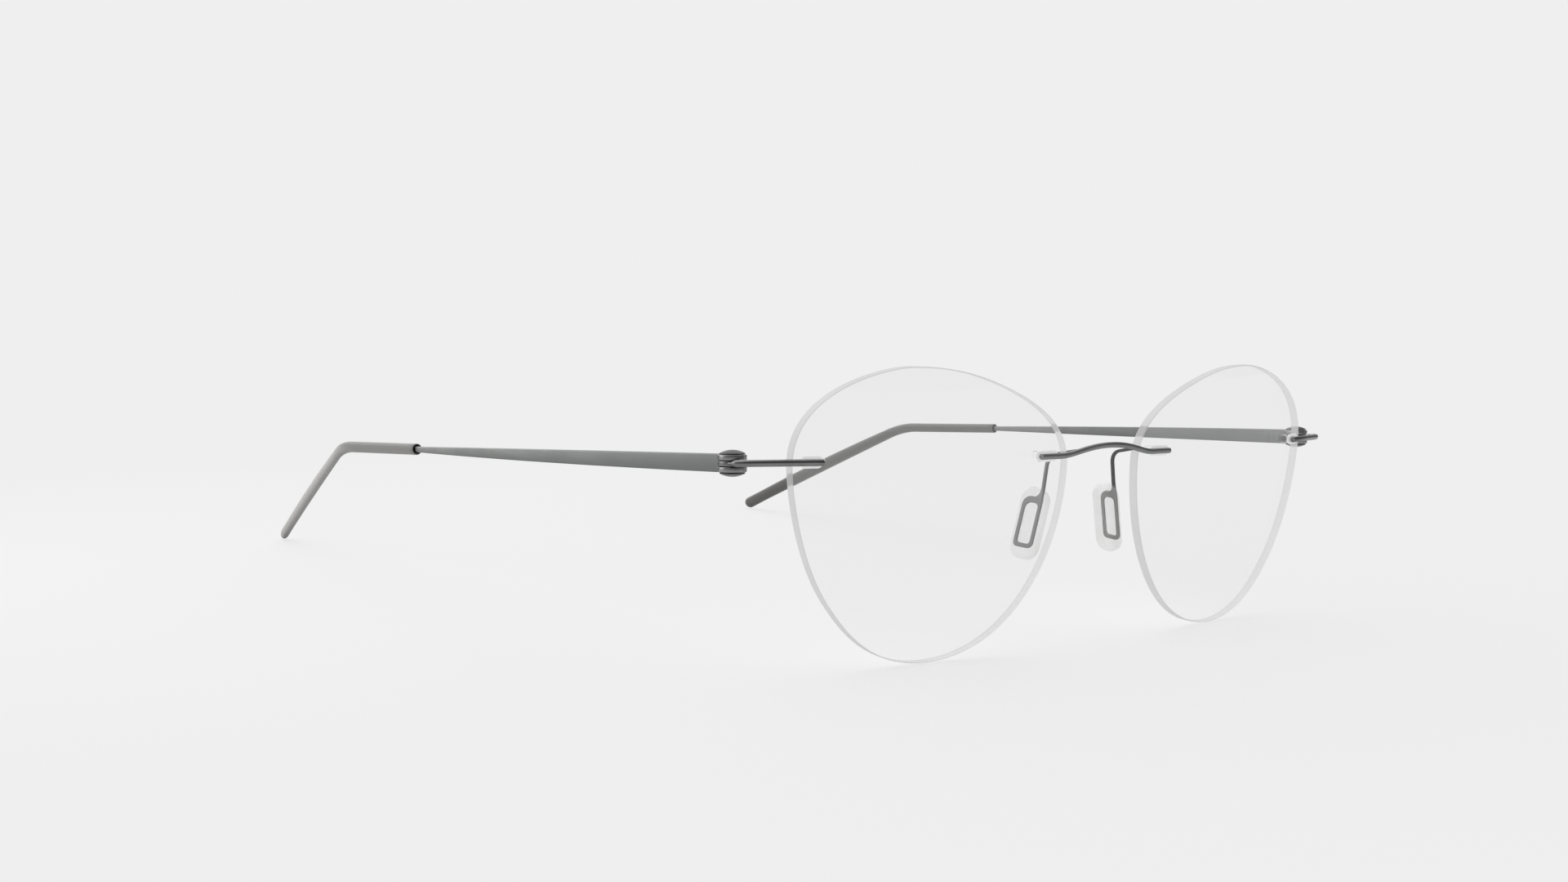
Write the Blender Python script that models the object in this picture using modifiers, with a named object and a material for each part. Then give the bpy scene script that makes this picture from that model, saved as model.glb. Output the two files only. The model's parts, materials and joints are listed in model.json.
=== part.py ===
"""Rimless eyeglasses: edged lenses, wire bridge and end pieces, nose pads, folding temples.

Everything is laid out in the wearing frame: X to the wearer's left, Y backwards along the temples,
Z up, origin midway between the two lens centres. The empty "stand" carries the whole and tips it
until it stands on the lens edges and the temple tips, with the origin below the middle of its box.
"""

from math import asin, cos, pi, radians, sin, sqrt, tan

import bmesh
import bpy
import numpy as np
from mathutils import Matrix, Vector

MM = 0.001
SIDES = {"left": 1, "right": -1}
WELD = 0.001 * MM
SEAT_GAP = 0.04 * MM

# Lenses: boxed size, gap between them, curve and attitude
LENS_WIDTH = 50.0 * MM
LENS_HEIGHT = 41.7 * MM
LENS_GAP = 16.2 * MM
LENS_RADIUS = 250.0 * MM
LENS_THICKNESS = 1.4 * MM
LENS_WRAP = radians(5.8)
LENS_TILT = radians(5.7)
LENS_CENTRE_X = (LENS_WIDTH + LENS_GAP) / 2
BLANK_RADIUS = 29.0 * MM
BLANK_RINGS = 5
BLANK_STEPS = 48
OUTLINE_STEPS = 14

# Lens outline anchors: outward and upward place, travel angle, handle before and after
LENS_OUTLINE = (
    (LENS_WIDTH / 2, 8.0 * MM, 90, 3.0 * MM, 10.4 * MM),
    (5.7 * MM, LENS_HEIGHT / 2, 180, 3.0 * MM, 5.0 * MM),
    (-12.8 * MM, 17.7 * MM, 200, 9.0 * MM, 6.6 * MM),
    (-LENS_WIDTH / 2, 6.6 * MM, 270, 5.6 * MM, 13.8 * MM),
    (0.0, -LENS_HEIGHT / 2, 0, 16.0 * MM, 9.8 * MM),
    (17.7 * MM, -11.7 * MM, 50, 4.5 * MM, 8.7 * MM),
)

# Lens bushings: a plug through the lens with a rounded flange on its front
MOUNT_HEIGHT = 8.1 * MM
TEMPORAL_MOUNT = 21.7 * MM
NASAL_MOUNT = -20.1 * MM
TEMPORAL_FLANGE_LENGTH = 4.25 * MM
NASAL_FLANGE_LENGTH = 4.8 * MM
FLANGE_WIDTH = 1.7 * MM
FLANGE_THICKNESS = 0.3 * MM
FLANGE_ROUND = 0.15 * MM
PLUG_INSET = 0.3 * MM
PLUG_PROUD = 0.15 * MM
MOUNT_PIN_RADIUS = 0.33 * MM
MOUNT_PIN_SETBACK = 0.55 * MM
BUSHING_END_STEPS = 7

# Wires of the bridge and the end pieces
BRIDGE_RADIUS = 0.43 * MM
BRIDGE_RISE = 9.22 * MM
BRIDGE_FORWARD = -3.35 * MM
BRIDGE_END_OVERHANG = 1.83 * MM
BRIDGE_STRAIGHT_TO = -2.3 * MM
BRIDGE_CROWN_HANDLE = 5.4 * MM
BRIDGE_FOOT_HANDLE = 2.95 * MM
BRIDGE_STEPS = 8
END_WIRE_RADIUS = 0.47 * MM
END_WIRE_OVERHANG = 1.05 * MM
END_WIRE_BEND = 4.0 * MM
EYE_ENTRY_RADIUS = 1.42 * MM
EYE_WIRE_RADIUS = 0.33 * MM

# Hinge: three rings on a pin with domed ends
HINGE = Vector((64.06, 7.84, 8.34)) * MM
RING_RADIUS = 1.92 * MM
RING_BORE = 0.80 * MM
RING_HEIGHT = 0.70 * MM
RING_GAP = 0.09 * MM
RING_EDGE = 0.10 * MM
PIN_RADIUS = 0.75 * MM
DOME_RADIUS = 1.71 * MM
DOME_HEIGHT = 0.56 * MM
DOME_RIM = 0.10 * MM
SOCKET_DEPTH = 0.34 * MM
SOCKET_CLEARANCE = 0.03 * MM
HINGE_STEPS = 32
DOME_STEPS = 5

# Temples: a leaf-shaped blade on a gently bowed line, with a thin core inside the tip
TIP_MOUTH = Vector((67.26, 81.20, 7.67)) * MM
TIP_BEND = Vector((66.21, 106.80, 7.20)) * MM
TIP_END = Vector((56.58, 146.23, -10.90)) * MM
BLADE_THICKNESS = 0.80 * MM
BLADE_ROOT_HEIGHT = 2.48 * MM
BLADE_TAPER = (0.70 * MM, 0.90 * MM)
BLADE_EDGE = 0.16 * MM
BLADE_ROOT_START = 1.05 * MM
BLADE_FULL_START = 1.78 * MM
BLADE_STATIONS = 14
CORE_WIDTH = 0.76 * MM
CORE_EDGE = 0.20 * MM
CORE_LENGTH = 15.0 * MM

# Temple tips: round at the mouth, a twisted oval past the bend, with a rounded end
TIP_MOUTH_RADIUS = 0.89 * MM
TIP_BEND_RADII = (1.02 * MM, 0.75 * MM)
TIP_END_RADII = (1.19 * MM, 0.78 * MM)
TIP_TWIST = radians(-20)
TIP_BEND_ARC = 17.0 * MM
TIP_BOW = 0.25 * MM
TIP_ROUND = 1.3 * MM
TIP_SIDES = 16
TIP_BORE_RADIUS = 0.50 * MM
TIP_BORE_LENGTH = 16.0 * MM
TIP_MOUTH_BORE = 0.66 * MM
TIP_MOUTH_DEPTH = 0.8 * MM

# Nose pads: a flat loop and arm cut from sheet, seated in a soft pad
PAD_CENTRE = Vector((9.607, 4.48, -2.35)) * MM
PAD_SPLAY = radians(13.6)
PAD_LEAN = radians(5.4)
PAD_TOE = radians(8.4)
LOOP_WIDTH = 3.4 * MM
LOOP_TOP = 4.05 * MM
LOOP_BOTTOM = -3.7 * MM
LOOP_FRONT_BAR = 0.46 * MM
LOOP_BACK_BAR = 0.42 * MM
LOOP_TOP_BAR = 0.95 * MM
LOOP_BOTTOM_BAR = 0.58 * MM
LOOP_CORNER = 0.65 * MM
LOOP_SHOULDER = 1.0 * MM
WINDOW_CORNER = 0.42 * MM
LOOP_THICKNESS = 0.46 * MM
ARM_FILLET = 0.9 * MM
ARM_SHIFT = 0.13 * MM
ARM_WIDTH = 0.45 * MM
ARM_THICKNESS = 0.42 * MM
ARM_LOW = Vector((8.129, 2.732, 2.90)) * MM
ARM_CORNER = Vector((7.378, 2.481, 7.70)) * MM
ARM_END = Vector((6.80, -3.03, 8.58)) * MM
ARM_BENDS = (6.0 * MM, 2.0 * MM)
PAD_WIDTH = 4.5 * MM
PAD_HEIGHT = 10.9 * MM
PAD_CORNER = 2.05 * MM
PAD_BACK = 0.10 * MM
PAD_FRONT = 1.85 * MM
PAD_ROUND = 0.85 * MM
PAD_ROUND_STEPS = 4

# Finishes: colour, roughness, metallic, transmission
FINISHES = {
    "titanium": ((0.22, 0.23, 0.225), 0.38, 1.0, 0.0),
    "clear_lens": ((0.95, 0.96, 0.96), 0.03, 0.0, 1.0),
    "clear_plastic": ((0.86, 0.87, 0.86), 0.22, 0.0, 0.4),
    "clear_silicone": ((0.80, 0.81, 0.80), 0.35, 0.0, 0.6),
    "grey_tip": ((0.33, 0.33, 0.32), 0.45, 0.0, 0.0),
}


def clear_scene():
    for obj in list(bpy.data.objects):
        bpy.data.objects.remove(obj)


def new_collection(name):
    collection = bpy.data.collections.new(name)
    bpy.context.scene.collection.children.link(collection)
    return collection


def finish(name):
    """The Principled material of one finish, made on first use."""
    if name in bpy.data.materials:
        return bpy.data.materials[name]
    colour, roughness, metallic, transmission = FINISHES[name]
    material = bpy.data.materials.new(name)
    material.use_nodes = True
    shader = material.node_tree.nodes["Principled BSDF"].inputs
    shader["Base Color"].default_value = (*colour, 1.0)
    shader["Roughness"].default_value = roughness
    shader["Metallic"].default_value = metallic
    shader["Transmission Weight"].default_value = transmission
    return material


def empty(name, frame, parent=None):
    holder = bpy.data.objects.new(name, None)
    holder.empty_display_size = 5 * MM
    parts.objects.link(holder)
    holder.parent = parent
    holder.matrix_basis = frame
    return holder


def part(name, mesh, frame, finish_name, parent):
    """One sub-part of the eyeglasses, shaded smooth up to its sharp edges."""
    mesh.name = name
    mesh.materials.clear()
    mesh.materials.append(finish(finish_name))
    mesh.shade_smooth()
    mesh.set_sharp_from_angle(angle=radians(35))
    obj = bpy.data.objects.new(name, mesh)
    parts.objects.link(obj)
    obj.parent = parent
    obj.matrix_basis = frame
    return obj


def tool(name, mesh, frame, parent):
    """A shape that is joined to a part or cut from it."""
    obj = bpy.data.objects.new(name, mesh)
    tools.objects.link(obj)
    obj.parent = parent
    obj.matrix_basis = frame
    obj.hide_render = True
    obj.display_type = "WIRE"
    return obj


def combine(obj, other, operation):
    modifier = obj.modifiers.new(f"{operation.lower()} {other.name}", "BOOLEAN")
    modifier.operation = operation
    modifier.object = other
    modifier.solver = "EXACT"


def welded(mesh):
    """The same mesh with its doubles merged and its faces pointing out."""
    shape = bmesh.new()
    shape.from_mesh(mesh)
    bmesh.ops.remove_doubles(shape, verts=shape.verts, dist=WELD)
    bmesh.ops.recalc_face_normals(shape, faces=shape.faces)
    shape.to_mesh(mesh)
    shape.free()
    return mesh


def mesh_of(helper):
    """The mesh that a helper object evaluates to. The helper is removed."""
    bpy.context.scene.collection.objects.link(helper)
    bpy.context.view_layer.update()
    graph = bpy.context.evaluated_depsgraph_get()
    mesh = bpy.data.meshes.new_from_object(helper.evaluated_get(graph))
    bpy.data.objects.remove(helper)
    return welded(mesh)


def turned(profile, steps):
    """A solid of revolution about Z from (radius, height) points, top to bottom on the outer side."""
    mesh = bpy.data.meshes.new("profile")
    edges = [(i, i + 1) for i in range(len(profile) - 1)]
    if profile[0][0] > 0:
        edges.append((len(profile) - 1, 0))
    mesh.from_pydata([(radius, 0, height) for radius, height in profile], edges, [])
    helper = bpy.data.objects.new("turning", mesh)
    screw = helper.modifiers.new("turn", "SCREW")
    screw.steps = steps
    screw.render_steps = steps
    screw.use_merge_vertices = True
    screw.merge_threshold = WELD
    return mesh_of(helper)


def tube(path, radii, sides=2):
    """A wire along a path of points, with a radius at each of them and filled ends."""
    curve = bpy.data.curves.new("wire", "CURVE")
    curve.dimensions = "3D"
    curve.bevel_depth = 1.0
    curve.bevel_resolution = sides
    curve.use_fill_caps = True
    spline = curve.splines.new("POLY")
    spline.points.add(len(path) - 1)
    for point, place, radius in zip(spline.points, path, radii):
        point.co = (*place, 1)
        point.radius = radius
    return mesh_of(bpy.data.objects.new("wire", curve))


def plate(outlines, thickness):
    """A flat plate in XY, centred on Z = 0. Outlines inside the first are its holes."""
    curve = bpy.data.curves.new("outline", "CURVE")
    curve.dimensions = "2D"
    curve.fill_mode = "BOTH"
    curve.extrude = thickness / 2
    for outline in outlines:
        spline = curve.splines.new("POLY")
        spline.points.add(len(outline) - 1)
        spline.use_cyclic_u = True
        for point, (x, y) in zip(spline.points, outline):
            point.co = (x, y, 0, 1)
    return mesh_of(bpy.data.objects.new("outline", curve))


def loft(rings):
    """A closed solid through rings of equally many points, capped at both ends."""
    shape = bmesh.new()
    loops = [[shape.verts.new(point) for point in ring] for ring in rings]
    count = len(loops[0])
    for before, after in zip(loops, loops[1:]):
        for i in range(count):
            j = (i + 1) % count
            shape.faces.new((before[i], before[j], after[j], after[i]))
    shape.faces.new(loops[0])
    shape.faces.new(loops[-1])
    bmesh.ops.recalc_face_normals(shape, faces=shape.faces)
    mesh = bpy.data.meshes.new("loft")
    shape.to_mesh(mesh)
    shape.free()
    return mesh


def bezier(start, start_handle, end_handle, end, steps):
    """Points along a cubic curve, without its end point."""
    points = []
    for i in range(steps):
        t = i / steps
        s = 1 - t
        points.append(s**3 * start + 3 * s * s * t * start_handle + 3 * s * t * t * end_handle + t**3 * end)
    return points


def rounded_path(corners, radii, steps):
    """Points through the corners, each inner corner replaced by an arc of its own radius."""
    path = [corners[0]]
    for before, corner, after, radius in zip(corners, corners[1:], corners[2:], radii):
        back = (before - corner).normalized()
        ahead = (after - corner).normalized()
        half = back.angle(ahead) / 2
        centre = corner + (back + ahead).normalized() * (radius / sin(half))
        first = (corner + back * (radius / tan(half)) - centre).normalized()
        last = (corner + ahead * (radius / tan(half)) - centre).normalized()
        path += [centre + first.slerp(last, i / steps) * radius for i in range(steps + 1)]
    path.append(corners[-1])
    return path


def arc(centre, radius, start, end, steps):
    """Points on a circle from one angle to another, in degrees, both ends included."""
    angles = np.radians(np.linspace(start, end, steps + 1))
    return [(centre[0] + radius * cos(a), centre[1] + radius * sin(a)) for a in angles]


def rounded_rectangle(width, height, corner, steps):
    x = width / 2 - corner
    y = height / 2 - corner
    points = []
    for quarter, centre in enumerate(((x, y), (-x, y), (-x, -y), (x, -y))):
        points += arc(centre, corner, 90 * quarter, 90 * quarter + 90, steps)
    return points


def stadium(length, width, steps):
    half = (length - width) / 2
    return arc((half, 0), width / 2, -90, 90, steps) + arc((-half, 0), width / 2, 90, 270, steps)


def lens_frame(side):
    """Optical frame of a lens: X along it, Y up it, Z out of the middle of its front."""
    return (
        Matrix.Rotation(LENS_TILT, 4, "X")
        @ Matrix.Translation((side * LENS_CENTRE_X, 0, 0))
        @ Matrix.Rotation(side * LENS_WRAP, 4, "Z")
        @ Matrix.Rotation(pi / 2, 4, "X")
    )


def mount_frame(side, outward):
    """Frame of a lens slot: X along the slot, Z square out of the lens front."""
    depth = sqrt(LENS_RADIUS**2 - outward**2 - MOUNT_HEIGHT**2)
    normal = Vector((side * outward, MOUNT_HEIGHT, depth)) / LENS_RADIUS
    along = Vector((0, 1, 0)).cross(normal).normalized()
    axes = Matrix((along, normal.cross(along), normal)).transposed().to_4x4()
    place = Vector((side * outward, MOUNT_HEIGHT, depth - LENS_RADIUS))
    return lens_frame(side) @ Matrix.Translation(place) @ axes


def wire_height(radius):
    """How far a wire's centre stands off the lens front, on the bushing's flange."""
    return SEAT_GAP + FLANGE_THICKNESS + SEAT_GAP + radius


def lens_outline(side):
    points = []
    for anchor, following in zip(LENS_OUTLINE, LENS_OUTLINE[1:] + LENS_OUTLINE[:1]):
        x, y, angle, _, ahead = anchor
        next_x, next_y, next_angle, behind, _ = following
        start = Vector((x, y))
        end = Vector((next_x, next_y))
        leaving = Vector((cos(radians(angle)), sin(radians(angle)))) * ahead
        arriving = Vector((cos(radians(next_angle)), sin(radians(next_angle)))) * behind
        points += bezier(start, start + leaving, end - arriving, end, OUTLINE_STEPS)
    return [(side * point.x, point.y) for point in points]


def lens_blank():
    """The uncut round blank: two spherical faces about one centre."""
    radii = np.linspace(0, BLANK_RADIUS, BLANK_RINGS + 1)
    front = [(r, sqrt(LENS_RADIUS**2 - r * r) - LENS_RADIUS) for r in radii]
    inner = LENS_RADIUS - LENS_THICKNESS
    back = [(r, sqrt(inner**2 - r * r) - LENS_RADIUS) for r in radii[::-1]]
    return turned(front + back, BLANK_STEPS)


def slot_length(outward):
    flange = TEMPORAL_FLANGE_LENGTH if outward > 0 else NASAL_FLANGE_LENGTH
    return flange - 2 * PLUG_INSET


def make_lens(name, side):
    """A blank edged to the outline, with a slot for each bushing."""
    frame = lens_frame(side)
    lens = part(f"lens_{name}", lens_blank(), frame, "clear_lens", stand)
    edge = tool(f"lens_outline_{name}", plate([lens_outline(side)], LENS_WIDTH), frame, stand)
    combine(lens, edge, "INTERSECT")
    for place, outward in (("temporal", TEMPORAL_MOUNT), ("nasal", NASAL_MOUNT)):
        width = FLANGE_WIDTH - 2 * PLUG_INSET + 2 * SEAT_GAP
        outline = stadium(slot_length(outward) + 2 * SEAT_GAP, width, BUSHING_END_STEPS)
        mesh = plate([outline], 4 * LENS_THICKNESS)
        slot = tool(f"lens_slot_{place}_{name}", mesh, mount_frame(side, outward), stand)
        combine(lens, slot, "DIFFERENCE")


def make_bushing(name, side, place, outward, pin_place):
    """A slot-shaped plug with a flange whose front edge is rounded, bored for the wire's pin."""
    length = slot_length(outward)
    width = FLANGE_WIDTH - 2 * PLUG_INSET
    foot = -LENS_THICKNESS - PLUG_PROUD
    top = SEAT_GAP + FLANGE_THICKNESS
    levels = (
        (0.0, foot),
        (0.0, SEAT_GAP),
        (PLUG_INSET, SEAT_GAP),
        (PLUG_INSET, top - FLANGE_ROUND),
        (PLUG_INSET - FLANGE_ROUND * (1 - cos(pi / 4)), top - FLANGE_ROUND * (1 - sin(pi / 4))),
        (PLUG_INSET - FLANGE_ROUND, top),
    )
    rings = []
    for grow, height in levels:
        outline = stadium(length + 2 * grow, width + 2 * grow, BUSHING_END_STEPS)
        rings.append([(x, y, height) for x, y in outline])
    frame = mount_frame(side, outward)
    bushing = part(f"lens_bushing_{place}_{name}", loft(rings), frame, "clear_plastic", stand)
    bore_radius = MOUNT_PIN_RADIUS + SEAT_GAP
    bore = turned(
        [(0, LENS_THICKNESS), (bore_radius, LENS_THICKNESS), (bore_radius, 2 * foot), (0, 2 * foot)], 16
    )
    bore_frame = frame @ Matrix.Translation((pin_place, 0, 0))
    combine(bushing, tool(f"bushing_bore_{place}_{name}", bore, bore_frame, stand), "DIFFERENCE")


def mount_pin(name, frame, pin_place, wire_radius):
    """The short pin behind a wire's end that passes through the bushing."""
    head = wire_height(wire_radius)
    foot = -LENS_THICKNESS
    profile = [(0, head), (MOUNT_PIN_RADIUS, head), (MOUNT_PIN_RADIUS, foot), (0, foot)]
    place = frame @ Matrix.Translation((pin_place, 0, 0))
    return tool(f"mount_pin_{name}", turned(profile, 14), place, stand)


def bridge_path():
    """Centreline from the right lens to the left: straight on each lens, arched over the nose."""
    height = wire_height(BRIDGE_RADIUS)
    frame = mount_frame(SIDES["left"], NASAL_MOUNT)
    end = frame @ Vector((BRIDGE_END_OVERHANG, 0, height))
    foot = frame @ Vector((BRIDGE_STRAIGHT_TO, 0, height))
    crown = Vector((0, BRIDGE_FORWARD, BRIDGE_RISE))
    foot_handle = foot + (foot - end).normalized() * BRIDGE_FOOT_HANDLE
    crown_handle = crown + Vector((BRIDGE_CROWN_HANDLE, 0, 0))
    half = bezier(crown, crown_handle, foot_handle, foot, BRIDGE_STEPS) + [foot, end]
    other_half = [Vector((-point.x, point.y, point.z)) for point in reversed(half)]
    return other_half[:-1] + half


def make_bridge():
    path = bridge_path()
    bridge = part("bridge", tube(path, [BRIDGE_RADIUS] * len(path)), Matrix(), "titanium", stand)
    for name, side in SIDES.items():
        frame = mount_frame(side, NASAL_MOUNT)
        pin_place = side * (BRIDGE_END_OVERHANG - MOUNT_PIN_SETBACK)
        combine(bridge, mount_pin(f"nasal_{name}", frame, pin_place, BRIDGE_RADIUS), "UNION")
        make_bushing(name, side, "nasal", NASAL_MOUNT, pin_place)


def ring_profile(low, high):
    """Section of a hinge ring between two heights, with softened outer edges."""
    return [
        (RING_BORE, high),
        (RING_RADIUS - RING_EDGE, high),
        (RING_RADIUS, high - RING_EDGE),
        (RING_RADIUS, low + RING_EDGE),
        (RING_RADIUS - RING_EDGE, low),
        (RING_BORE, low),
    ]


def make_end_piece(name, side):
    """A wire along the lens front that bends back and closes in the hinge's middle ring."""
    frame = mount_frame(side, TEMPORAL_MOUNT)
    height = wire_height(END_WIRE_RADIUS)
    hinge = Vector((side * HINGE.x, HINGE.y, HINGE.z))
    start = frame @ Vector((-side * END_WIRE_OVERHANG, 0, height))
    ahead = frame @ Vector((0, 0, height)) - start
    entry_x = hinge.x + side * EYE_ENTRY_RADIUS
    corner = start + ahead * ((entry_x - start.x) / ahead.x)
    finish_point = Vector((entry_x, hinge.y, hinge.z))
    path = rounded_path([start, corner, finish_point], [END_WIRE_BEND], 8)
    radii = []
    for point in path:
        clear = (point.xy - hinge.xy).length - RING_RADIUS
        share = min(max(clear / (2 * END_WIRE_RADIUS), 0), 1)
        radii.append(EYE_WIRE_RADIUS + share * (END_WIRE_RADIUS - EYE_WIRE_RADIUS))
    end_piece = part(f"end_piece_{name}", tube(path, radii), Matrix(), "titanium", stand)
    eye = turned(ring_profile(-RING_HEIGHT / 2, RING_HEIGHT / 2), HINGE_STEPS)
    combine(end_piece, tool(f"hinge_eye_{name}", eye, Matrix.Translation(hinge), stand), "UNION")
    pin_place = side * (MOUNT_PIN_SETBACK - END_WIRE_OVERHANG)
    combine(end_piece, mount_pin(f"temporal_{name}", frame, pin_place, END_WIRE_RADIUS), "UNION")
    make_bushing(name, side, "temporal", TEMPORAL_MOUNT, pin_place)


def dome(base, top):
    """Outer profile of a domed end, from the centre of its top to the rim of its base."""
    rise = abs(top - base) - DOME_RIM
    sphere = (DOME_RADIUS**2 + rise**2) / (2 * rise)
    reach = asin(DOME_RADIUS / sphere)
    sign = 1 if top > base else -1
    points = []
    for i in range(DOME_STEPS + 1):
        angle = reach * i / DOME_STEPS
        points.append((sphere * sin(angle), top - sign * sphere * (1 - cos(angle))))
    return points + [(DOME_RADIUS, base)]


def make_hinge_pin(name, holder):
    """Shaft with a domed head, and the domed cap that closes over its foot."""
    base = 1.5 * RING_HEIGHT + 2 * RING_GAP
    foot = -base - SOCKET_DEPTH + SEAT_GAP
    pin = dome(base, base + DOME_HEIGHT) + [(PIN_RADIUS, base), (PIN_RADIUS, foot), (0, foot)]
    part(f"hinge_pin_{name}", turned(pin, HINGE_STEPS), Matrix(), "titanium", holder)
    socket = PIN_RADIUS + SOCKET_CLEARANCE
    floor = -base - SOCKET_DEPTH
    cap = [(0, floor), (socket, floor), (socket, -base)]
    cap += reversed(dome(-base, -base - DOME_HEIGHT))
    part(f"hinge_cap_{name}", turned(cap, HINGE_STEPS), Matrix(), "titanium", holder)


def bevelled_section(width, height, edge):
    """Corner points of a rectangle with its four edges cut, around the section's centre."""
    x = width / 2
    y = height / 2
    return [
        (x, y - edge), (x - edge, y), (edge - x, y), (-x, y - edge),
        (-x, edge - y), (edge - x, -y), (x - edge, -y), (x, edge - y),
    ]


def placed_section(section, centre, along, twist=0.0):
    """A flat section set square across a direction, its Y upwards unless twisted."""
    across = along.cross(Vector((0, 0, 1))).normalized()
    upward = across.cross(along).normalized()
    broad = upward * cos(twist) + across * sin(twist)
    narrow = across * cos(twist) - upward * sin(twist)
    return [centre + narrow * x + broad * y for x, y in section]


def mirrored(rings, side):
    return [[Vector((side * point.x, point.y, point.z)) for point in ring] for ring in rings]


def make_temple(name, side, holder):
    """The blade with the hinge's upper and lower rings, slotted for the middle ring."""
    mouth = TIP_MOUTH - HINGE
    core = (TIP_BEND - TIP_MOUTH).normalized()
    control = mouth - core * (mouth.y / (2 * core.y))
    inner_height = 3 * RING_HEIGHT + 2 * RING_GAP - 2 * SEAT_GAP
    starts = (BLADE_ROOT_START, BLADE_FULL_START - SEAT_GAP, BLADE_FULL_START)
    shares = [start / mouth.y for start in starts]
    shares += np.linspace(shares[-1], 1, BLADE_STATIONS)[1:].tolist()
    rings = []
    for i, s in enumerate(shares):
        centre = 2 * s * (1 - s) * control + s * s * mouth
        along = (1 - 2 * s) * control + s * mouth
        height = BLADE_ROOT_HEIGHT - BLADE_TAPER[0] * s - BLADE_TAPER[1] * s * s
        section = bevelled_section(BLADE_THICKNESS, inner_height if i < 2 else height, BLADE_EDGE)
        rings.append(placed_section(section, centre, along))
    core_section = bevelled_section(CORE_WIDTH, CORE_WIDTH, CORE_EDGE)
    for distance in (TIP_MOUTH_DEPTH, CORE_LENGTH):
        rings.append(placed_section(core_section, mouth + core * distance, core))
    temple = part(f"temple_{name}", loft(mirrored(rings, side)), Matrix(), "titanium", holder)
    room = RING_RADIUS + RING_GAP
    half = RING_HEIGHT / 2 + RING_GAP
    space = turned([(0, half), (room, half), (room, -half), (0, -half)], HINGE_STEPS)
    combine(temple, tool(f"middle_ring_space_{name}", space, Matrix(), holder), "DIFFERENCE")
    for level, low in (("upper", half), ("lower", -half - RING_HEIGHT)):
        ring = turned(ring_profile(low, low + RING_HEIGHT), HINGE_STEPS)
        combine(temple, tool(f"{level}_ring_{name}", ring, Matrix(), holder), "UNION")


def tip_path():
    """Stations of a tip: place, distance past the bend as a share, and size share at the rounded end."""
    mouth = TIP_MOUTH - HINGE
    bend = TIP_BEND - HINGE
    end = TIP_END - HINGE
    path = rounded_path([mouth, bend, end], [TIP_BEND_ARC], 8)
    arc_end = path[-2]
    run = end - arc_end
    slope = run.normalized()
    upward = slope.cross(Vector((1, 0, 0))).normalized()
    upward = upward if upward.z > 0 else -upward
    stations = [(point, 0.0, 1.0) for point in path[:-2]]
    round_start = 1 - TIP_ROUND / run.length
    shares = np.linspace(0, round_start, 6).tolist()
    turns = [radians(angle) for angle in (18, 36, 54, 70, 84)]
    shares += [round_start + (1 - round_start) * sin(turn) for turn in turns]
    sizes = [1.0] * 6 + [cos(turn) for turn in turns]
    for share, size in zip(shares, sizes):
        bow = upward * (4 * TIP_BOW * share * (1 - share))
        stations.append((arc_end + run * share + bow, share, size))
    return stations


def make_tip(name, side, holder):
    """A soft tip, bored for the temple's core, with a wider mouth and a rounded flattened end."""
    stations = tip_path()
    places = [place for place, _, _ in stations]
    angles = [2 * pi * i / TIP_SIDES for i in range(TIP_SIDES)]
    bend_steps = sum(1 for _, share, _ in stations if share == 0)
    rings = []
    for i, (place, share, size) in enumerate(stations):
        along = places[min(i + 1, len(places) - 1)] - places[max(i - 1, 0)]
        flatten = min(i / bend_steps, 1) if i > 1 else 0.0
        broad_past = TIP_BEND_RADII[0] + share * (TIP_END_RADII[0] - TIP_BEND_RADII[0])
        narrow_past = TIP_BEND_RADII[1] + share * (TIP_END_RADII[1] - TIP_BEND_RADII[1])
        broad = size * (TIP_MOUTH_RADIUS + flatten * (broad_past - TIP_MOUTH_RADIUS))
        narrow = size * (TIP_MOUTH_RADIUS + flatten * (narrow_past - TIP_MOUTH_RADIUS))
        section = [(narrow * cos(a), broad * sin(a)) for a in angles]
        rings.append(placed_section(section, place, along, TIP_TWIST * flatten))
    tip = part(f"temple_tip_{name}", loft(mirrored(rings, side)), Matrix(), "grey_tip", holder)
    core = (TIP_BEND - TIP_MOUTH).normalized()
    core.x *= side
    mouth = TIP_MOUTH - HINGE
    mouth.x *= side
    inward = -core
    frame = Matrix.Translation(mouth) @ inward.to_track_quat("Z", "Y").to_matrix().to_4x4()
    bore = turned(
        [
            (0, TIP_MOUTH_DEPTH),
            (TIP_MOUTH_BORE, TIP_MOUTH_DEPTH),
            (TIP_MOUTH_BORE, -TIP_MOUTH_DEPTH),
            (TIP_BORE_RADIUS, -TIP_MOUTH_DEPTH),
            (TIP_BORE_RADIUS, -TIP_BORE_LENGTH),
            (0, -TIP_BORE_LENGTH),
        ],
        TIP_SIDES,
    )
    combine(tip, tool(f"tip_bore_{name}", bore, frame, holder), "DIFFERENCE")


def pad_frame(side):
    """Plane of a pad's loop: X backwards, Y up. The nose lies towards minus side along Z."""
    up = Vector((-side * tan(PAD_SPLAY), -tan(PAD_LEAN), 1)).normalized()
    back = Vector((side * tan(PAD_TOE), 1, 0))
    back = (back - up * back.dot(up)).normalized()
    axes = Matrix((back, up, back.cross(up))).transposed().to_4x4()
    return Matrix.Translation((side * PAD_CENTRE.x, PAD_CENTRE.y, PAD_CENTRE.z)) @ axes


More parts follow.
